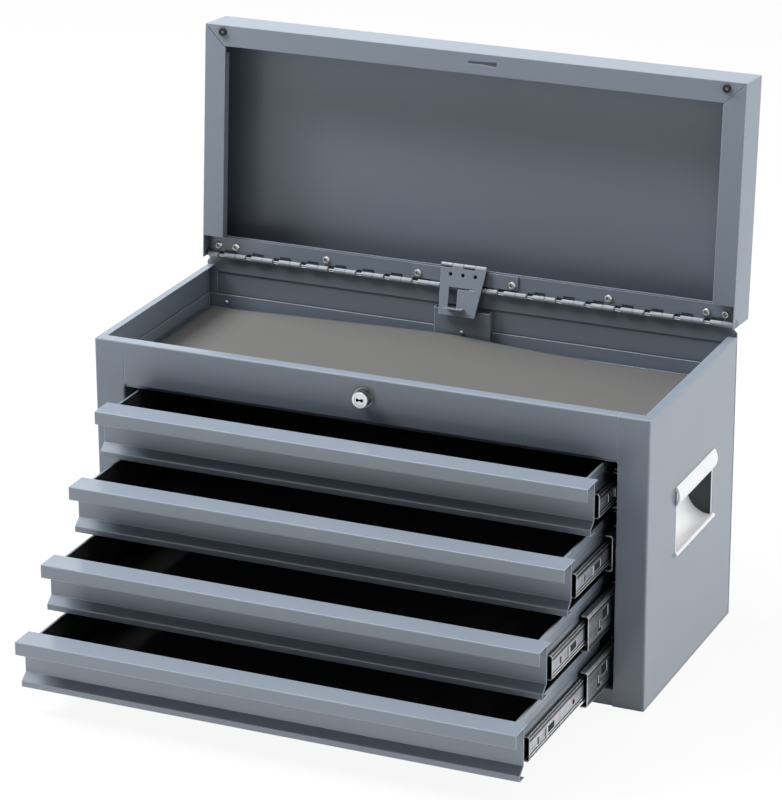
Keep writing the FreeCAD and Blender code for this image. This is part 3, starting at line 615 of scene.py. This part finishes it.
@dataclass(frozen=True)
class RibbedRubber:
    """Black rubber sheet with fine ribs along one direction."""

    name: str
    colour: Colour
    rib_pitch: float = 3.0 * MM
    rib_depth: float = 0.5 * MM
    rib_share: float = 0.5
    dust_cells: float = 30.0
    dust_share: float = 0.4
    dust_light: float = 1.6
    roughness: float = 0.36
    dust_rough: float = 0.2

    def make(self) -> bpy.types.Material:
        """Build the material."""
        bench = Bench(self.name)
        wave = bench.node(
            "ShaderNodeTexWave",
            {"bands_direction": "Y"},
            Vector=bench.place(),
            Scale=math.pi / (10 * self.rib_pitch),
        )
        rib = Signal(bench.tree, wave.outputs["Fac"])
        dust = bench.noise(self.dust_cells, 4.0)
        bench.set(
            Base_Color=bench.blend(dust * self.dust_share, self.colour, shaded(self.colour, self.dust_light)),
            Roughness=self.roughness + dust * self.dust_rough,
        )
        bench.bump(rib, self.rib_share, self.rib_depth)
        return bench.material


PAINT = display(128, 138, 150)
# painted highlight bands, as heights about each slide's middle, where the rolled shape catches light
RAIL_HIGHLIGHT_BANDS = ((-4.6 * MM, 7.2 * MM),)
MIDDLE_HIGHLIGHT_BANDS = ((-12.0 * MM, 14.0 * MM), (16.4 * MM, 19.0 * MM), (-19.0 * MM, -16.4 * MM))
FINISH_OF = (
    ("*_slide_rails", "rails"),
    ("slide_posts_*", "body"),
    ("*slide*", "slides"),
    ("*_box", "drawer"),
    ("*_front", "front"),
    ("side_handle*", "handle"),
    ("lock_plug", "core"),
    ("lock_body", "chrome"),
    ("lock_nut", "fittings"),
    ("lock_cam*", "fittings"),
    ("lock_bar", "fittings"),
    ("hinge_rivets", "rivet"),
    ("hinge*", "hinge"),
    ("lock_plate*", "plate"),
    ("lid_shell", "lid"),
    ("lid_bumpers", "buffer"),
    ("tray_mat", "mat"),
    ("tray_floor", "tray"),
    ("*_mat", "drawer_mat"),
    ("*", "body"),
)


def finishes(
    hinge_axis: tuple[float, float], plate_axis: tuple[float, float], lock_face: float, slide_z: float
) -> dict[str, Any]:
    """Every finish of the chest by its short name.

    Args:
        hinge_axis: Y and Z of the lid's hinge.
        plate_axis: Y and Z of the lock plate's hinge.
        lock_face: Y of the front of the lock core.
        slide_z: height of the middle of the top drawer's slides.

    Returns:
        The finishes.
    """
    return {
        "body": SatinPaint("blue_grey_paint", PAINT),
        # painted highlight on the hinge knuckles
        "hinge": HingePaint("hinge_paint", PAINT, edge_radius=0.6 * MM, axis=hinge_axis),
        "front": SatinPaint("front_paint", PAINT, gloss=0.9),
        # painted shade: wide, deep crevice shade under the lid's ledge and walls, and a dark band round the
        # hinge behind the leaf's notches
        "lid": HingePaint(
            "lid_paint",
            PAINT,
            roughness=0.34,
            gloss=0.45,
            shade_reach=48.0 * MM,
            painted_shade_dark=0.22,
            axis=hinge_axis,
            barrel=6.4 * MM,
            barrel_painted_tone=shaded(PAINT, 0.1),
        ),
        # lock plate: the body paint a tenth lighter, with a painted highlight on its knuckles
        "plate": HingePaint(
            "lock_plate_paint", shaded(PAINT, 1.1), edge_radius=0.5 * MM, axis=plate_axis, barrel=2.4 * MM
        ),
        # painted shade reaching far over the drawers, black inside them
        "drawer": DrawerPaint("drawer_paint", PAINT, shade_reach=70.0 * MM, painted_shade_dark=0.1),
        "slides": BandedSteel(
            "slide_zinc", display(56, 57, 60), display(170, 171, 175), first=slide_z, bands=MIDDLE_HIGHLIGHT_BANDS
        ),
        "rails": BandedSteel(
            "rail_zinc", display(44, 44, 48), display(196, 196, 206), first=slide_z, bands=RAIL_HIGHLIGHT_BANDS
        ),
        "fittings": PlatedSteel(
            "fitting_zinc", display(150, 151, 152), display(206, 207, 208), stretch=(120.0, 120.0, 40.0)
        ),
        "cage": PlatedSteel("cage_steel", display(44, 44, 46), display(86, 87, 89), roughness=0.4),
        "handle": HandleMetal("handle_silver", display(240, 241, 245), 0.42, metallic=0.18),
        "chrome": SunkChrome("lock_chrome", display(222, 222, 224), 0.10),
        "core": KeyedChrome("lock_core_chrome", display(226, 226, 226), 0.16, face=lock_face),
        "rivet": BrightMetal("rivet_aluminium", display(196, 197, 198), 0.34),
        "mat": FoamSheet("tray_foam", display(97, 97, 96)),
        "drawer_mat": RibbedRubber("drawer_rubber", (0.04, 0.04, 0.04, 1.0)),
        "buffer": FoamSheet("buffer_rubber", display(44, 45, 48), skin_cells=900.0),
        # black plastic, also painted shade in slide windows and rail holes
        "nylon_and_shade": FoamSheet("cage_plastic_and_shade", display(15, 15, 16), skin_cells=900.0),
        # painted highlight: stronger on the tray's edges
        "tray": SatinPaint("tray_paint", PAINT, highlight_gain=3.0, highlight_share=1.0),
    }


class Shape:
    """A mesh in the making, kept in metres in the frame of the chest."""

    weld = 0.01 * MM
    ball_sides = 8
    ball_rings = 6

    def __init__(self) -> None:
        """Start empty."""
        self.bm = bmesh.new()

    def lathe(self, profile: Profile, steps: int, at: Matrix) -> None:
        """Spin a profile about Z and put it in place.

        Args:
            profile: radius and height of each point, from the axis outwards.
            steps: sides of the round.
            at: where the shape goes.
        """
        verts = [self.bm.verts.new((radius, 0.0, height)) for radius, height in profile]
        edges = [self.bm.edges.new(pair) for pair in zip(verts, verts[1:])]
        bmesh.ops.spin(
            self.bm,
            geom=verts + edges,
            cent=(0, 0, 0),
            axis=(0, 0, 1),
            angle=math.tau,
            steps=steps,
            use_merge=True,
        )
        new = [vert for vert in self.bm.verts if not vert.tag]
        bmesh.ops.remove_doubles(self.bm, verts=new, dist=self.weld)
        new = [vert for vert in self.bm.verts if not vert.tag]
        bmesh.ops.transform(self.bm, matrix=at, verts=new)
        bmesh.ops.recalc_face_normals(self.bm, faces=[face for face in self.bm.faces if not face.tag])
        self.keep()

    def keep(self) -> None:
        """Mark all that is there as finished, so that the next part is told from it."""
        for vert in self.bm.verts:
            vert.tag = True
        for face in self.bm.faces:
            face.tag = True

    def block(self, low: Sequence[float], high: Sequence[float], bevel: float = 0.0) -> None:
        """Add a block between two corners, with rounded edges.

        Args:
            low: lowest corner.
            high: highest corner.
            bevel: radius of its edges.
        """
        size = Vector(high) - Vector(low)
        middle = (Vector(high) + Vector(low)) / 2
        at = Matrix.Translation(middle) @ Matrix.Diagonal((*size, 1.0))
        made = bmesh.ops.create_cube(self.bm, size=1.0, matrix=at)["verts"]
        if bevel:
            edges = list({edge for vert in made for edge in vert.link_edges})
            bmesh.ops.bevel(
                self.bm, geom=edges, offset=bevel, segments=2, profile=0.5, affect="EDGES", material=-1
            )
        self.keep()

    def ball(self, centre: Sequence[float], radius: float) -> None:
        """Add a small bearing ball."""
        sides, rings = self.ball_sides, self.ball_rings
        at = Matrix.Translation(centre)
        bmesh.ops.create_uvsphere(self.bm, u_segments=sides, v_segments=rings, radius=radius, matrix=at)
        self.keep()

    def finish(self, name: str, material: bpy.types.Material, smooth: bool = True) -> bpy.types.Object:
        """Turn the shape into an object.

        Args:
            name: the object's name.
            material: its finish.
            smooth: whether faces are shaded smoothly.

        Returns:
            The object, linked to the scene.
        """
        mesh = bpy.data.meshes.new(name)
        self.bm.to_mesh(mesh)
        self.bm.free()
        for polygon in mesh.polygons:
            polygon.use_smooth = smooth
        piece = bpy.data.objects.new(name, mesh)
        bpy.context.scene.collection.objects.link(piece)
        piece.data.materials.append(material)
        return piece


RIVET_HEAD = (
    (0.42, -0.1), (0.42, 0.86), (0.5, 1.0), (0.62, 0.99), (0.8, 0.74), (0.95, 0.36), (1.0, 0.0), (0.92, -0.1),
    (0.42, -0.1),
)
RIVET_STEM = ((0.0, 0.5), (0.14, 0.46), (0.2, 0.2), (0.418, 0.12), (0.418, -0.1))
BUFFER_RING = (
    (0.0, 0.4), (0.42, 0.4), (0.52, 0.92), (0.62, 1.0), (0.86, 1.0), (0.98, 0.86), (1.0, 0.6), (1.0, 0.0),
    (0.0, 0.0),
)
BUFFER_SCREW = ((0.0, 0.72), (0.28, 0.68), (0.4, 0.5), (0.4, 0.38), (0.0, 0.38))
PAN_HEAD = ((0.0, 1.0), (0.55, 0.97), (0.85, 0.75), (1.0, 0.4), (1.0, -0.1), (0.0, -0.1))


def sized(shares: Profile, radius: float, height: float) -> Profile:
    """A profile from its points as shares of the full radius and height."""
    return [(radius * across, height * up) for across, up in shares]


@dataclass
class Chest:
    """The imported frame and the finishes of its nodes."""

    frame: Mapping[str, Any]

    def __post_init__(self) -> None:
        """Make every material once."""
        axes = [Vector(self.joint(name)["pos_m"]) for name in ("lid_hinge", "lock_plate_hinge")]
        plug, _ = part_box("lock_plug")
        low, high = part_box("drawer_1_slide_rails")
        slide_z = (low.z + high.z) / 2
        made = finishes((axes[0].y, axes[0].z), (axes[1].y, axes[1].z), plug.y, slide_z)
        self.materials = {name: finish.make() for name, finish in made.items()}

    def dress(self) -> None:
        """Give every node of the frame its finish."""
        for name, node in self.frame["nodes"].items():
            finish = self.finish_of(name)
            node.data.materials.clear()
            node.data.materials.append(self.materials[finish])
            LOG.info("%s gets %s", name, finish)

    def finish_of(self, node: str) -> str:
        """Name of the finish of one node, by the first pattern that fits."""
        return next(finish for pattern, finish in FINISH_OF if fnmatchcase(node, pattern))

    def joint(self, name: str) -> Mapping[str, Any]:
        """One joint of the record."""
        return next(joint for joint in self.frame["joints"] if joint["name"] == name)


@dataclass
class TrayMat:
    """Loose foam mat in the tray, its back edge riding up in front of the lock cover."""

    chest: Chest
    cells_across: int = 120
    cells_deep: int = 50
    thickness: float = 3.0 * MM
    crest: float = 8.2 * MM
    crest_x: float = -12.0 * MM
    hump_depth: float = 80.0 * MM
    right_run: float = 185.0 * MM
    soft: float = 22.0 * MM
    ripple: float = 0.5 * MM
    ripple_waves: tuple[float, float, float] = (41.0, 17.0, 2.0)
    right_fall: float = 1.7
    swell: float = 1.6

    def ridge(self, x: float, left_run: float) -> float:
        """Share of the crest's height along the back edge.

        Args:
            x: place across the tray.
            left_run: distance from the crest to the left end.

        Returns:
            The share from zero to one.
        """
        away = x - self.crest_x
        if away < 0:
            return max(0.0, 1.0 + away / left_run)
        return max(0.0, 1.0 - away / self.right_run) ** self.right_fall

    def rise(self, x: float, behind: float, left_run: float) -> float:
        """Height of the mat over the tray floor.

        Args:
            x: place across the tray.
            behind: share of the hump's depth, one at the back edge.
            left_run: distance from the crest to the left end.

        Returns:
            The rise in metres.
        """
        if behind <= 0:
            return 0.0
        shifts = (-1.0, -0.5, 0.0, 0.5, 1.0)
        crest = sum(self.ridge(x + shift * self.soft, left_run) for shift in shifts) / len(shifts)
        quick, slow, phase = self.ripple_waves
        waves = self.ripple * (1 + math.sin(x * quick) * math.sin(x * slow + phase)) * 0.5
        return self.crest * crest * behind ** self.swell + waves * behind

    def build(self) -> bpy.types.Object:
        """Model the mat and lay it in place of its solid."""
        low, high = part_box("tray_mat")
        left_run = self.crest_x - low.x
        shape = Shape()
        bmesh.ops.create_grid(shape.bm, x_segments=self.cells_across, y_segments=self.cells_deep, size=0.5)
        size = high - low
        for vert in shape.bm.verts:
            x = vert.co.x * size.x
            y = low.y + (vert.co.y + 0.5) * size.y
            behind = 1.0 - (high.y - y) / self.hump_depth
            vert.co = Vector((x, y, low.z + self.thickness + self.rise(x, behind, left_run)))
        mat = shape.finish("tray_mat_sheet", self.chest.materials["mat"])
        solid = mat.modifiers.new("thickness", "SOLIDIFY")
        solid.thickness = self.thickness
        solid.offset = -1.0
        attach(mat, "case")
        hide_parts("tray_mat")
        return mat


@dataclass
class DrawerMats:
    """Black ribbed mats on the drawer floors."""

    chest: Chest
    cells_across: int = 24
    cells_deep: int = 12
    corner: float = 4.0 * MM

    def build(self) -> list[bpy.types.Object]:
        """Model one mat for each drawer."""
        return [self.lay(number) for number in DRAWERS]

    def lay(self, number: int) -> bpy.types.Object:
        """Model the mat of one drawer.

        Args:
            number: the drawer's number from the top.

        Returns:
            The mat.
        """
        node = f"drawer_{number}_mat"
        low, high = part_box(node)
        shape = Shape()
        bmesh.ops.create_grid(shape.bm, x_segments=self.cells_across, y_segments=self.cells_deep, size=0.5)
        size = high - low
        middle = (high + low) / 2
        at = Matrix.Translation((middle.x, middle.y, high.z)) @ Matrix.Diagonal((size.x, size.y, 1.0, 1.0))
        bmesh.ops.transform(shape.bm, matrix=at, verts=shape.bm.verts[:])
        corners = [vert for vert in shape.bm.verts if len(vert.link_edges) == 2]
        bmesh.ops.bevel(
            shape.bm,
            geom=corners,
            offset=self.corner,
            segments=4,
            profile=0.5,
            affect="VERTICES",
            material=-1,
        )
        mat = shape.finish(f"drawer_{number}_mat_sheet", self.chest.materials["drawer_mat"], smooth=False)
        solid = mat.modifiers.new("thickness", "SOLIDIFY")
        solid.thickness = size.z
        solid.offset = -1.0
        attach(mat, f"drawer_{number}")
        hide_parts(node)
        return mat


@dataclass
class HingeRivets:
    """Domed rivet heads with a sunk middle along the lid's hinge leaf."""

    chest: Chest
    inset: float = 31.0 * MM
    end_step: float = 20.5 * MM
    row: int = 6
    setback: float = 9.5 * MM
    leaf_rise: float = 2.4 * MM
    bracket_half: float = 60.0 * MM
    bracket_sheet: float = 1.2 * MM
    radius: float = 4.4 * MM
    height: float = 2.0 * MM
    head_steps: int = 24
    stem_steps: int = 16

    def places(self) -> list[Matrix]:
        """Where each head sits on the open lid, its axis towards the tray."""
        hinge = self.chest.joint("lid_hinge")
        opened = math.radians(hinge["range_deg"][1])
        turn = Matrix.Translation(hinge["pos_m"]) @ Matrix.Rotation(-opened, 4, "X")
        _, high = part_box("hinge_lid_leaf")
        last = high.x - self.inset
        row = [-last + 2 * last * i / (self.row - 1) for i in range(self.row)]
        found = []
        for x in [-last - self.end_step] + row + [last + self.end_step]:
            over = self.bracket_sheet if abs(x) < self.bracket_half else 0.0
            down = Matrix.Rotation(math.pi, 4, "X")
            found.append(turn @ Matrix.Translation((x, -self.setback, self.leaf_rise - over)) @ down)
        return found

    def build(self) -> list[bpy.types.Object]:
        """Model all heads and their stems in place of their solids."""
        rings = Shape()
        stems = Shape()
        for at in self.places():
            rings.lathe(sized(RIVET_HEAD, self.radius, self.height), self.head_steps, at)
            stems.lathe(sized(RIVET_STEM, self.radius, self.height), self.stem_steps, at)
        heads = rings.finish("rivet_heads", self.chest.materials["rivet"])
        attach(heads, "lid")
        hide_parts("hinge_rivets")
        cores = stems.finish("rivet_stems", self.chest.materials["cage"])
        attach(cores, "lid")
        return [heads, cores]


@dataclass
class LidBumpers:
    """Round rubber buffers on the front corners of the lid's rim, each with a sunk middle."""

    chest: Chest
    radius: float = 4.2 * MM
    height: float = 2.6 * MM
    steps: int = 20

    def build(self) -> list[bpy.types.Object]:
        """Model both buffers in place of their solids, and their screws."""
        low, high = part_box("lid_bumpers")
        middle = (low + high) / 2
        opened = math.radians(self.chest.joint("lid_hinge")["range_deg"][1])
        turn = Matrix.Rotation(math.pi - opened, 4, "X") @ Matrix.Translation((0.0, 0.0, -self.height / 2))
        rings = Shape()
        cores = Shape()
        for hand in Hand:
            x = hand.value * (high.x - self.radius)
            at = Matrix.Translation((x, middle.y, middle.z)) @ turn
            rings.lathe(sized(BUFFER_RING, self.radius, self.height), self.steps, at)
            cores.lathe(sized(BUFFER_SCREW, self.radius, self.height), self.steps, at)
        buffers = rings.finish("lid_bumper_rings", self.chest.materials["buffer"])
        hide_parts("lid_bumpers")
        screws = cores.finish("lid_bumper_screws", self.chest.materials["cage"])
        for piece in (buffers, screws):
            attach(piece, "lid")
        return [buffers, screws]


@dataclass
class BallCages:
    """Rows of bearing balls in their cages between the members of the slides."""

    chest: Chest
    balls: int = 9
    pitch: float = 6.2 * MM
    inner_radius: float = 2.2 * MM
    outer_radius: float = 1.15 * MM
    sheet: float = 1.1 * MM
    strip: float = 0.6 * MM
    strip_gap: float = 0.4 * MM
    ball_gap: float = 0.15 * MM
    outer_inset: float = 3.0 * MM
    end_gap: float = 6.0 * MM

    def build(self) -> list[bpy.types.Object]:
        """Model the cages of every drawer."""
        return [piece for number in DRAWERS for piece in self.cage(number)]

    def cage(self, number: int) -> list[bpy.types.Object]:
        """Model the balls and strips of one drawer's slides.

        Args:
            number: the drawer's number from the top.

        Returns:
            The balls and the strips.
        """
        rail_low, rail_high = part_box(f"drawer_{number}_slide_rails")
        low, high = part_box(f"drawer_{number}_slide_middles")
        middle_z = (low.z + high.z) / 2
        rail_half = (rail_high.z - rail_low.z) / 2
        half = (high.z - low.z) / 2
        face = high.x - self.sheet - self.strip_gap
        inner_z = (rail_half + half - self.sheet) / 2
        inner_x = rail_high.x - self.inner_radius
        outer_z = half + self.outer_radius + self.ball_gap
        outer_x = high.x - self.outer_inset
        length = self.balls * self.pitch
        shape = Shape()
        strips = Shape()
        for hand in Hand:
            for sign in (-1, 1):
                front = low.y + self.end_gap
                rear = high.y - self.end_gap - length
                for index in range(self.balls):
                    step = (index + 0.5) * self.pitch
                    inner = (hand.value * inner_x, front + step, middle_z + sign * inner_z)
                    outer = (hand.value * outer_x, rear + step, middle_z + sign * outer_z)
                    shape.ball(inner, self.inner_radius)
                    shape.ball(outer, self.outer_radius)
            # black strips: the balls' cages and painted shade behind the windows of the middles
            xs = sorted((hand.value * face, hand.value * (face - self.strip)))
            strips.block(
                (xs[0], low.y + self.end_gap, middle_z - inner_z),
                (xs[1], low.y + self.end_gap + length, middle_z + inner_z),
            )
        balls = shape.finish(f"drawer_{number}_balls", self.chest.materials["cage"])
        cages = strips.finish(f"drawer_{number}_ball_cages", self.chest.materials["nylon_and_shade"], smooth=False)
        for piece in (balls, cages):
            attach(piece, f"slide_middle_{number}")
        return [balls, cages]


@dataclass
class RailTrim:
    """Rolled ridges, lanced tabs and dark inserts of the rails on the drawers: latch plastic and painted
    shade in the holes.
    """

    chest: Chest
    ridge_drops: tuple[float, ...] = (6.4 * MM, 9.6 * MM)
    ridge_width: float = 0.9 * MM
    ridge_height: float = 0.35 * MM
    end_gap: float = 1.0 * MM
    tab_setback: float = 41.0 * MM
    tab_length: float = 3.2 * MM
    tab_reach: float = 1.3 * MM
    tab_half: float = 4.5 * MM
    tab_bevel: float = 0.3 * MM
    holes: tuple[tuple[float, float], ...] = ((19.5 * MM, 5.0 * MM), (46.0 * MM, 18.0 * MM))
    hole_half: float = 4.0 * MM
    dot_setback: float = 114.6 * MM
    dot_radius: float = 2.6 * MM
    dot_rise: float = 0.3 * MM
    dot_steps: int = 12
    sheet: float = 1.1 * MM
    insert_gap: float = 0.05 * MM
    insert_depth: float = 0.4 * MM

    def build(self) -> list[bpy.types.Object]:
        """Model the trim of every drawer."""
        return [self.trim(number) for number in DRAWERS] + [self.inserts(number) for number in DRAWERS]

    def span(self, hand: Hand, near: float, far: float) -> tuple[float, float]:
        """Two places across the chest in rising order, mirrored for the left hand."""
        return (near, far) if hand is Hand.RIGHT else (-far, -near)

    def trim(self, number: int) -> bpy.types.Object:
        """Model the ridges and tabs of one drawer.

        Args:
            number: the drawer's number from the top.

        Returns:
            The piece.
        """
        low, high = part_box(f"drawer_{number}_slide_rails")
        middle = (low.z + high.z) / 2
        tab_y = low.y + self.tab_setback
        tab_end = tab_y + self.tab_length
        start, end = low.y + self.end_gap, high.y - self.end_gap
        shape = Shape()
        for hand in Hand:
            for drop in self.ridge_drops:
                x0, x1 = self.span(hand, high.x - self.insert_gap, high.x + self.ridge_height)
                top = middle - drop
                shape.block((x0, start, top - self.ridge_width), (x1, end, top))
            x0, x1 = self.span(hand, high.x - self.insert_gap, high.x + self.tab_reach)
            corner = (x1, tab_end, middle + self.tab_half)
            shape.block((x0, tab_y, middle - self.tab_half), corner, self.tab_bevel)
        piece = shape.finish(f"drawer_{number}_rail_trim", self.chest.materials["fittings"], smooth=False)
        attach(piece, f"drawer_{number}")
        return piece

    def inserts(self, number: int) -> bpy.types.Object:
        """Model the dark inserts in the holes of one drawer's rails, latch plastic and painted shade in the
        holes.

        Args:
            number: the drawer's number from the top.

        Returns:
            The piece.
        """
        low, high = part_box(f"drawer_{number}_slide_rails")
        middle = (low.z + high.z) / 2
        half = self.hole_half - self.insert_gap
        shape = Shape()
        for hand in Hand:
            x0, x1 = self.span(hand, high.x - self.sheet + self.insert_gap, high.x - self.insert_depth)
            for setback, length in self.holes:
                start = low.y + setback + self.insert_gap
                end = low.y + setback + length - self.insert_gap
                shape.block((x0, start, middle - half), (x1, end, middle + half))
            dot = Matrix.Translation((hand.value * high.x, low.y + self.dot_setback, middle))
            turn = Matrix.Rotation(hand.value * math.pi / 2, 4, "Y")
            disc = sized(((0.0, 1.0), (1.0, 1.0), (1.0, 0.0), (0.0, 0.0)), self.dot_radius, self.dot_rise)
            shape.lathe(disc, self.dot_steps, dot @ turn)
        piece = shape.finish(f"drawer_{number}_rail_inserts", self.chest.materials["nylon_and_shade"], smooth=False)
        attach(piece, f"drawer_{number}")
        return piece


@dataclass
class TrayScrews:
    """Small bright screw heads in the tray: one on the lock cover, two on the rear wall."""

    chest: Chest
    radius: float = 2.2 * MM
    height: float = 1.5 * MM
    steps: int = 16
    cover_rise: float = 13.0 * MM
    wall_x: float = 277.0 * MM
    wall_rise: float = 7.0 * MM
    sheet: float = 1.0 * MM

    def build(self) -> bpy.types.Object:
        """Model the three heads, their axes forwards."""
        cover_low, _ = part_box("lock_channel_cover")
        pan_low, pan_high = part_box("tray_floor")
        wall_y = pan_high.y - self.sheet
        floor = pan_low.z + self.sheet
        places = [
            (0.0, cover_low.y, floor + self.cover_rise),
            (-self.wall_x, wall_y, floor + self.wall_rise),
            (self.wall_x, wall_y, floor + self.wall_rise),
        ]
        head = sized(PAN_HEAD, self.radius, self.height)
        shape = Shape()
        for place in places:
            shape.lathe(head, self.steps, Matrix.Translation(place) @ Matrix.Rotation(math.pi / 2, 4, "X"))
        piece = shape.finish("tray_screws", self.chest.materials["rivet"])
        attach(piece, "case")
        return piece


@dataclass(frozen=True)
class SoftBox:
    """A soft studio lamp, kept out of reflections where it is not mirrored."""

    name: str
    place: tuple[float, float, float]
    aim: tuple[float, float, float]
    size: tuple[float, float]
    power: float
    mirrored: bool = True

    def hang(self) -> None:
        """Add the lamp to the scene."""
        data = bpy.data.lights.new(self.name, "AREA")
        data.shape = "RECTANGLE"
        data.size = self.size[0]
        data.size_y = self.size[1]
        data.energy = self.power
        lamp = bpy.data.objects.new(self.name, data)
        lamp.visible_glossy = self.mirrored
        lamp.location = self.place
        lamp.rotation_euler = (Vector(self.place) - Vector(self.aim)).to_track_quat("Z", "Y").to_euler()
        bpy.context.scene.collection.objects.link(lamp)


@dataclass
class Studio:
    """Pale floor, soft lamps and a pale world."""

    floor_half: float = 9.0
    floor_gap: float = 0.2 * MM
    floor_colour: float = 0.88
    background_share: float = 0.92
    world_strength: float = 0.03
    lamps: tuple[SoftBox, ...] = (
        SoftBox("front_softbox", (-0.4, -0.5, 3.0), (0.0, -0.1, 0.2), (2.0, 1.0), 27.0),
        SoftBox("left_softbox", (-2.0, -0.2, 2.6), (0.0, 0.0, 0.25), (1.6, 1.6), 166.0, mirrored=False),
        SoftBox("right_softbox", (3.4, 0.4, 1.2), (0.3, 0.0, 0.2), (2.2, 2.2), 59.0),
        SoftBox("rear_softbox", (1.6, 1.8, 2.4), (0.2, 0.0, 0.2), (1.6, 1.6), 30.0),
    )

    def seen(self, nodes: Nodes) -> Signal:
        """Mask of the rays that show the background: from the camera, in gloss and through glass."""
        path = nodes.node("ShaderNodeLightPath", {})
        kinds = ("Camera", "Glossy", "Transmission")
        rays = [Signal(nodes.tree, path.outputs[f"Is {kind} Ray"]) for kind in kinds]
        return (rays[0] | rays[1]) | rays[2]

    def build(self) -> None:
        """Set up floor, world and lamps."""
        self.lay_floor()
        self.light_world()
        for lamp in self.lamps:
            lamp.hang()
        bpy.context.scene.view_settings.view_transform = "Standard"

    def lay_floor(self) -> None:
        """Add the floor, white to the camera with the shadow kept."""
        shape = Shape()
        under = Matrix.Translation((0.0, 0.0, -self.floor_gap))
        bmesh.ops.create_grid(shape.bm, x_segments=1, y_segments=1, size=self.floor_half, matrix=under)
        material = bpy.data.materials.new("floor_pale")
        material.use_nodes = True
        nodes = Nodes(material.node_tree)
        nodes.tree.nodes.clear()
        grey = (self.floor_colour, self.floor_colour, self.floor_colour, 1.0)
        diffuse = nodes.node("ShaderNodeBsdfDiffuse", {}, Color=grey)
        glow = nodes.node("ShaderNodeEmission", {})
        share = self.seen(nodes) * self.background_share
        layers = ((0, share), (1, diffuse.outputs[0]), (2, glow.outputs[0]))
        mix = nodes.node("ShaderNodeMixShader", {}, layers)
        nodes.node("ShaderNodeOutputMaterial", {}, Surface=mix.outputs[0])
        shape.finish("floor", material, smooth=False)

    def light_world(self) -> None:
        """Make the world white to the camera and softer as a light."""
        world = bpy.data.worlds.new("studio")
        world.use_nodes = True
        nodes = Nodes(world.node_tree)
        background = nodes.tree.nodes["Background"]
        strength = self.world_strength + self.seen(nodes) * (1.0 - self.world_strength)
        nodes.feed(background.inputs["Color"], (1.0, 1.0, 1.0, 1.0))
        nodes.feed(background.inputs["Strength"], strength)
        bpy.context.scene.world = world


@dataclass(frozen=True)
class PhotoCamera:
    """Camera at the photograph's viewing angle."""

    place: tuple[float, float, float] = (1.37307, -3.18121, 1.54819)
    azimuth: float = math.radians(23.765)
    elevation: float = math.radians(20.703)
    roll: float = math.radians(-0.193)
    lens: float = 162.9
    sensor: float = 36.0
    clip_end: float = 60.0

    def build(self) -> None:
        """Add the camera and make it the scene's own."""
        level = math.cos(self.elevation)
        back = Vector(
            (math.sin(self.azimuth) * level, -math.cos(self.azimuth) * level, math.sin(self.elevation))
        )
        data = bpy.data.cameras.new("photo_camera")
        data.lens = self.lens
        data.sensor_width = self.sensor
        data.clip_end = self.clip_end
        camera = bpy.data.objects.new("photo_camera", data)
        turn = back.to_track_quat("Z", "Y").to_matrix().to_4x4()
        camera.matrix_world = Matrix.Translation(self.place) @ turn @ Matrix.Rotation(self.roll, 4, "Z")
        bpy.context.scene.collection.objects.link(camera)
        bpy.context.scene.camera = camera


def corners(bounds: Any) -> list[list[float]]:
    """Two corners of a box as plain lists."""
    return [[float(value) for value in corner] for corner in bounds]


def main() -> None:
    """Build the chest's looks in order and log the face count of each added piece."""
    logging.basicConfig(level=logging.INFO, format="%(name)s: %(message)s")
    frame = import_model()
    PhotoCamera().build()
    chest = Chest(frame)
    chest.dress()
    builders: list[Callable[[], Any]] = [
        TrayMat(chest).build,
        DrawerMats(chest).build,
        HingeRivets(chest).build,
        LidBumpers(chest).build,
        BallCages(chest).build,
        RailTrim(chest).build,
        TrayScrews(chest).build,
    ]
    for build in builders:
        made = build()
        for piece in made if isinstance(made, list) else [made]:
            LOG.info("%s has %d faces", piece.name, len(piece.data.polygons))
    Studio().build()


if __name__ == "__main__":
    main()
